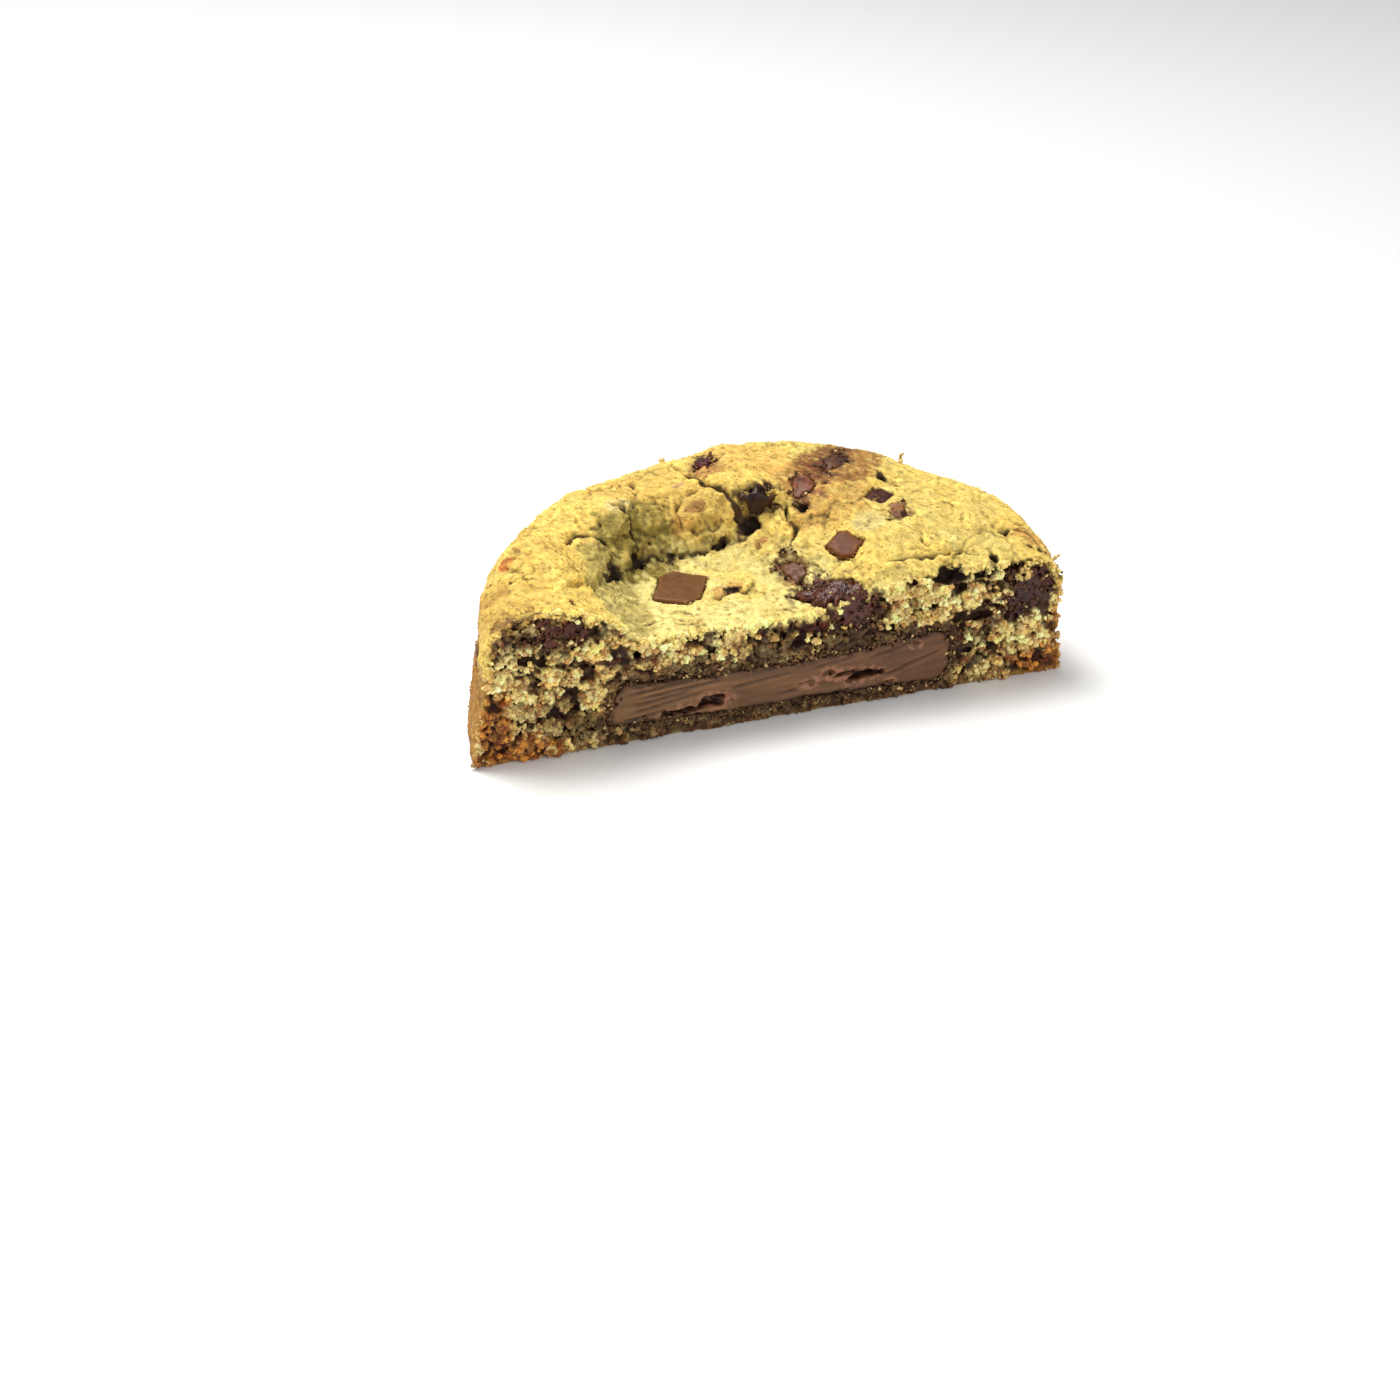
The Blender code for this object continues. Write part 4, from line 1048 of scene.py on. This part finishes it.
def filling():
    axes = cut_axes((-29.8, -1.2, 0.2), (28.2, 28.6, 12.4), STEP * 0.9, fine_to=2.6, deep_step=1.0)
    points, faces = surface(filling_field(axes), axes)
    hollow = hollowness(points, faces, point_normals(points, faces), 4)
    tint, near_void = filling_colour(points, hollow)
    obj = mesh_object("chocolate_filling", points, faces, tint, 0.4 * near_void)
    dress(obj, "milk chocolate filling", "filling")


def chunk(name):
    """Makes one chunk, cut off just behind the cut face, and returns its points and their normals."""
    kind, centre, size, _ = CHUNKS[name]
    step = 0.26
    reach = np.linalg.norm(size) / 2 + 1.2
    axes = axes_of(centre - reach, centre + reach, step)
    p = points_of(axes)
    value = chunk_distance(name, p)
    if kind == "melt":
        value = value - 0.2 * perlin(p, 0.8, 301)
    value = np.maximum(value, -p[:, 1] + 0.45 * perlin(p, 1.2, 302) + 0.1)
    points, faces = surface(value.reshape([len(a) for a in axes]), axes)
    normal = point_normals(points, faces)
    hollow = hollowness(points, faces, normal, 4)
    p32 = points.astype(np.float32)
    main, other, dull = CHUNK_LOOKS.get(name, SIDE_LOOK)
    streaks = smooth((fbm(p32, 2.4 if kind == "melt" else 1.5, 3, 311) - 0.05) / 0.25)[:, None]
    tint = mix(main, other, 0.75 * streaks) * (1 + 0.14 * fbm(p32, 1.2, 2, 312))[:, None]
    # painted shade in hollows and painted light on bumps
    tint = tint * np.clip(1 - 3.0 * hollow, 0.25, 1.5)[:, None]
    obj = mesh_object("piece_" + name, points, faces, tint, np.full(len(points), 1 - dull))
    if kind == "block":
        dress(obj, "milk chocolate chunk", name)
    else:
        dress(obj, "melted chocolate", name)
    return points, normal


def hull(corners):
    """The outer faces of a set of corners."""
    bm = bmesh.new()
    for corner in corners:
        bm.verts.new(corner)
    bm.verts.ensure_lookup_table()
    bmesh.ops.convex_hull(bm, input=bm.verts)
    bmesh.ops.triangulate(bm, faces=bm.faces)
    bmesh.ops.recalc_face_normals(bm, faces=bm.faces)
    faces = np.array([[v.index for v in f.verts] for f in bm.faces])
    bm.free()
    return faces


def round_crumb():
    """Twelve corners and twenty faces."""
    phi = (1 + 5**0.5) / 2
    corners = []
    for a, b in ((1, phi), (-1, phi), (1, -phi), (-1, -phi)):
        corners += [(0, a, b), (a, b, 0), (b, 0, a)]
    corners = np.array(corners) / np.linalg.norm((1, phi))
    return corners, hull(corners)


def sharp_crumb():
    """Eight corners and twelve faces."""
    corners = np.array([(a, b, c) for a in (-1, 1) for b in (-1, 1) for c in (-1, 1)]) * 0.62
    return corners, hull(corners)


ROUND_CRUMB, SHARP_CRUMB = round_crumb(), sharp_crumb()
FEWER = 1


def scattered(name, shape, at, sizes, tints, gloss=0.0):
    """Makes one mesh of many small crumbs, each with its own shape, turn and colour."""
    corners, faces = shape
    count = len(at)
    turns = np.linalg.qr(rng.normal(size=(count, 3, 3)))[0]
    turns *= np.sign(np.linalg.det(turns))[:, None, None]
    bumps = 1 + rng.uniform(-0.36, 0.36, size=(count, len(corners), 1))
    stretch = rng.uniform(0.6, 1.3, size=(count, 1, 3))
    local = (corners[None] * bumps * stretch) @ turns
    all_points = (local * sizes[:, None, None] + at[:, None]).reshape(-1, 3)
    all_faces = (faces[None] + (np.arange(count) * len(corners))[:, None, None]).reshape(-1, 3)
    tint = np.repeat(tints, len(corners), axis=0)
    obj = mesh_object(name, all_points, all_faces, tint, np.full(len(all_points), gloss))
    dress(obj, "crumb grains", None)


def dark_colours(_, tone):
    """Chocolate-stained crumbs, with a pale one now and then."""
    shades = mix(linear(46, 18, 10), linear(142, 102, 62), tone**1.5)
    return np.where(tone < 0.92, shades, linear(214, 184, 122))


def loose_crumbs(points, normal, tint, stained):
    """Crumbs on the cut, on the crust and round the chunks, placed on the dough's own points."""
    x, y, z = points.T
    body = body_distance(x, y, z)
    fill = filling_distance(x, y, z)
    to_melt, to_block = np.full(len(points), 9.0), np.full(len(points), 9.0)
    for name, (kind, *_) in CHUNKS.items():
        near = near_chunk(name, points, 2)
        nearest = to_melt if kind == "melt" else to_block
        nearest[near] = np.minimum(nearest[near], chunk_distance(name, points[near]))
    clear = np.minimum(to_melt, to_block) > 0.3

    def scatter(name, shape, where, count, sizes, lift, drift, colours):
        """Crumbs at points picked by the weights where, lifted by a share of their size and drifted."""
        count = count // FEWER
        pick = rng.choice(len(points), count, p=where / where.sum())
        low, high = sizes
        size = low + (high - low) * rng.random(count) ** 2
        at = points[pick] + normal[pick] * lift * size[:, None] + rng.normal(size=(count, 3)) * drift
        at[:, 2] = np.maximum(at[:, 2], 1.3 * size)
        scattered(name, shape, at, size, np.clip(colours(pick, rng.random((count, 1))), 0, 1))

    def torn_colours(pick, tone):
        # lit is a painted highlight, pale cream given to a random share of the crumbs; the rest keep the
        # dough's colour, painted shade included, made brighter
        lit = mix(linear(254, 238, 176), linear(210, 168, 94), tone)
        share = 0.7 * (1 - stained[pick])[:, None] ** 2
        return mix(tint[pick] * 1.15, lit, share * rng.uniform(0.1, 1.0, (len(pick), 1)))

    def crust_colours(pick, tone):
        light, clean = linear(250, 228, 156), (stained[pick] < 0.3)[:, None]
        return mix(tint[pick] * (0.75 + 0.45 * tone), light, 0.55 * np.maximum(tone - 0.4, 0) * clean)

    # on the cut, crumbs lie on what stands out, so that the gaps between clumps stay dark
    torn = (-y - body > -0.4) & (y < 0.9) & (z > 0.2) & (fill > 0.25)
    torn = torn * np.where(clear, 1.0, 0.2) * (1 - 0.8 * stained) * smooth((0.5 - y) / 0.8)
    still, beside_filling = np.zeros(3), np.array([0.5, 0.05, 0.35])
    beside_chunks = np.array([0.35, 0.25, 0.2])
    scatter("cut_crumbs", ROUND_CRUMB, torn, 1500, (0.22, 0.55), 0.25, still, torn_colours)
    scatter("cut_grains", SHARP_CRUMB, torn, 13500, (0.1, 0.3), 0.25, still, torn_colours)
    edge = (fill > 0) & (fill < 0.8) & (y < 0.6)
    scatter("edge_crumbs", SHARP_CRUMB, edge, 1700, (0.1, 0.36), 0.6, beside_filling, dark_colours)
    cling = (to_melt > 0) & (to_melt < 0.45) & (normal[:, 2] - normal[:, 1] > 0.3)
    scatter("clinging_crumbs", SHARP_CRUMB, cling, 1300, (0.1, 0.42), 0.6, beside_chunks, dark_colours)
    rimmed = (to_block > 0) & (to_block < 0.4) & (body > -1.0)
    closer = 0.6 * beside_chunks
    scatter("chunk_edge_crumbs", SHARP_CRUMB, rimmed, 500, (0.1, 0.34), 0.5, closer, crust_colours)
    outer = (body > -0.7) & (normal[:, 2] > -0.2) & (z > 1.5) & (y > 0.2) & clear
    scatter("crust_grains", SHARP_CRUMB, outer, 13000, (0.08, 0.24), -0.15, still, crust_colours)


def stuck_crumbs(pieces):
    """Crumbs stuck in the melted chocolate that the cut runs through, on those pieces' points."""
    at, facing = (np.concatenate([pieces[name][k] for name in CUT_MELTS]) for k in range(2))
    seen = (at[:, 1] < 1.0) | (facing[:, 2] > 0.4)
    pick = rng.choice(len(at), 900 // FEWER, p=seen / seen.sum())
    size = rng.uniform(0.1, 0.34, len(pick))
    own = dark_colours(pick, rng.random((len(pick), 1)) ** 1.6)
    scattered("stuck_crumbs", SHARP_CRUMB, at[pick], size, own, 0.3)


def tufts():
    """Little tufts of crumb that stand out at the rim."""
    for number, (place, lean) in enumerate(TUFTS):
        count = 16
        along = np.linspace(0, 1, count)[:, None]
        at = np.array(place) + along * np.array(lean) + rng.normal(size=(count, 3)) * 0.3 * (1.1 - along)
        own = mix(linear(206, 170, 96), linear(244, 224, 160), rng.random((count, 1)))
        scattered(f"tuft_{number}", SHARP_CRUMB, at, rng.uniform(0.2, 0.42, count), own)


# Stage

# name: where it stands, in metres, its side, power and colour
LIGHTS = {
    "top light": ((-0.2, 0.2, 0.62), 0.34, 5.0, (1, 0.985, 0.96)),
    "front light": ((0.2, -0.6, 0.4), 0.4, 1.6, (1, 0.99, 0.97)),
}
LIGHTS_AIM = Vector((0, 0, 0.01))
SKY_STRENGTH = 0.42


def stage():
    bpy.ops.mesh.primitive_plane_add(size=4, location=(0, 0, 0))
    floor = bpy.context.object
    floor.name = "floor"
    made, _, shader = new_material("pale floor")
    shader.inputs["Base Color"].default_value = (0.9, 0.9, 0.9, 1)
    shader.inputs["Roughness"].default_value = 0.6
    floor.data.materials.append(made)

    world = bpy.data.worlds.new("studio")
    bpy.context.scene.world = world
    world.use_nodes = True
    world.node_tree.nodes["Background"].inputs["Color"].default_value = (0.97, 0.985, 1, 1)
    world.node_tree.nodes["Background"].inputs["Strength"].default_value = SKY_STRENGTH

    for name, (place, size, power, colour) in LIGHTS.items():
        light = bpy.data.lights.new(name, "AREA")
        light.size = size
        light.energy = power
        light.color = colour
        lamp = bpy.data.objects.new(name, light)
        bpy.context.scene.collection.objects.link(lamp)
        lamp.location = place
        lamp.rotation_euler = (LIGHTS_AIM - Vector(place)).to_track_quat("-Z", "Y").to_euler()


def photo_camera():
    """The photograph's viewpoint, fitted to the half's outline, in degrees and millimetres."""
    elevation, yaw, roll, across, along, distance = 32.81, 21.3, 2.41, 13.02, -2.33, 266.22
    lens_pixels, frame_pixels = 1800, 1400
    el, az, ro = (math.radians(a) for a in (elevation, yaw, roll))
    back = np.array([-math.sin(az) * math.cos(el), -math.cos(az) * math.cos(el), math.sin(el)])
    right = np.array([math.cos(az), -math.sin(az), 0])
    up = np.cross(back, right)
    r = right * math.cos(ro) + up * math.sin(ro)
    u = up * math.cos(ro) - right * math.sin(ro)
    place = back * distance - r * across - u * along + ORIGIN
    data = bpy.data.cameras.new("photo camera")
    data.sensor_width = 36
    data.lens = data.sensor_width * lens_pixels / frame_pixels
    data.clip_start = 0.01
    camera = bpy.data.objects.new("photo camera", data)
    bpy.context.scene.collection.objects.link(camera)
    matrix = np.eye(4)
    matrix[:3, 0], matrix[:3, 1], matrix[:3, 2], matrix[:3, 3] = r, u, back, place * 0.001
    camera.matrix_world = Matrix(matrix.tolist())
    bpy.context.scene.camera = camera


baked = dough()
filling()
pieces = {name: chunk(name) for name in CHUNKS}
loose_crumbs(*baked)
stuck_crumbs(pieces)
tufts()
stage()
photo_camera()
bpy.context.scene.view_settings.view_transform = "Standard"
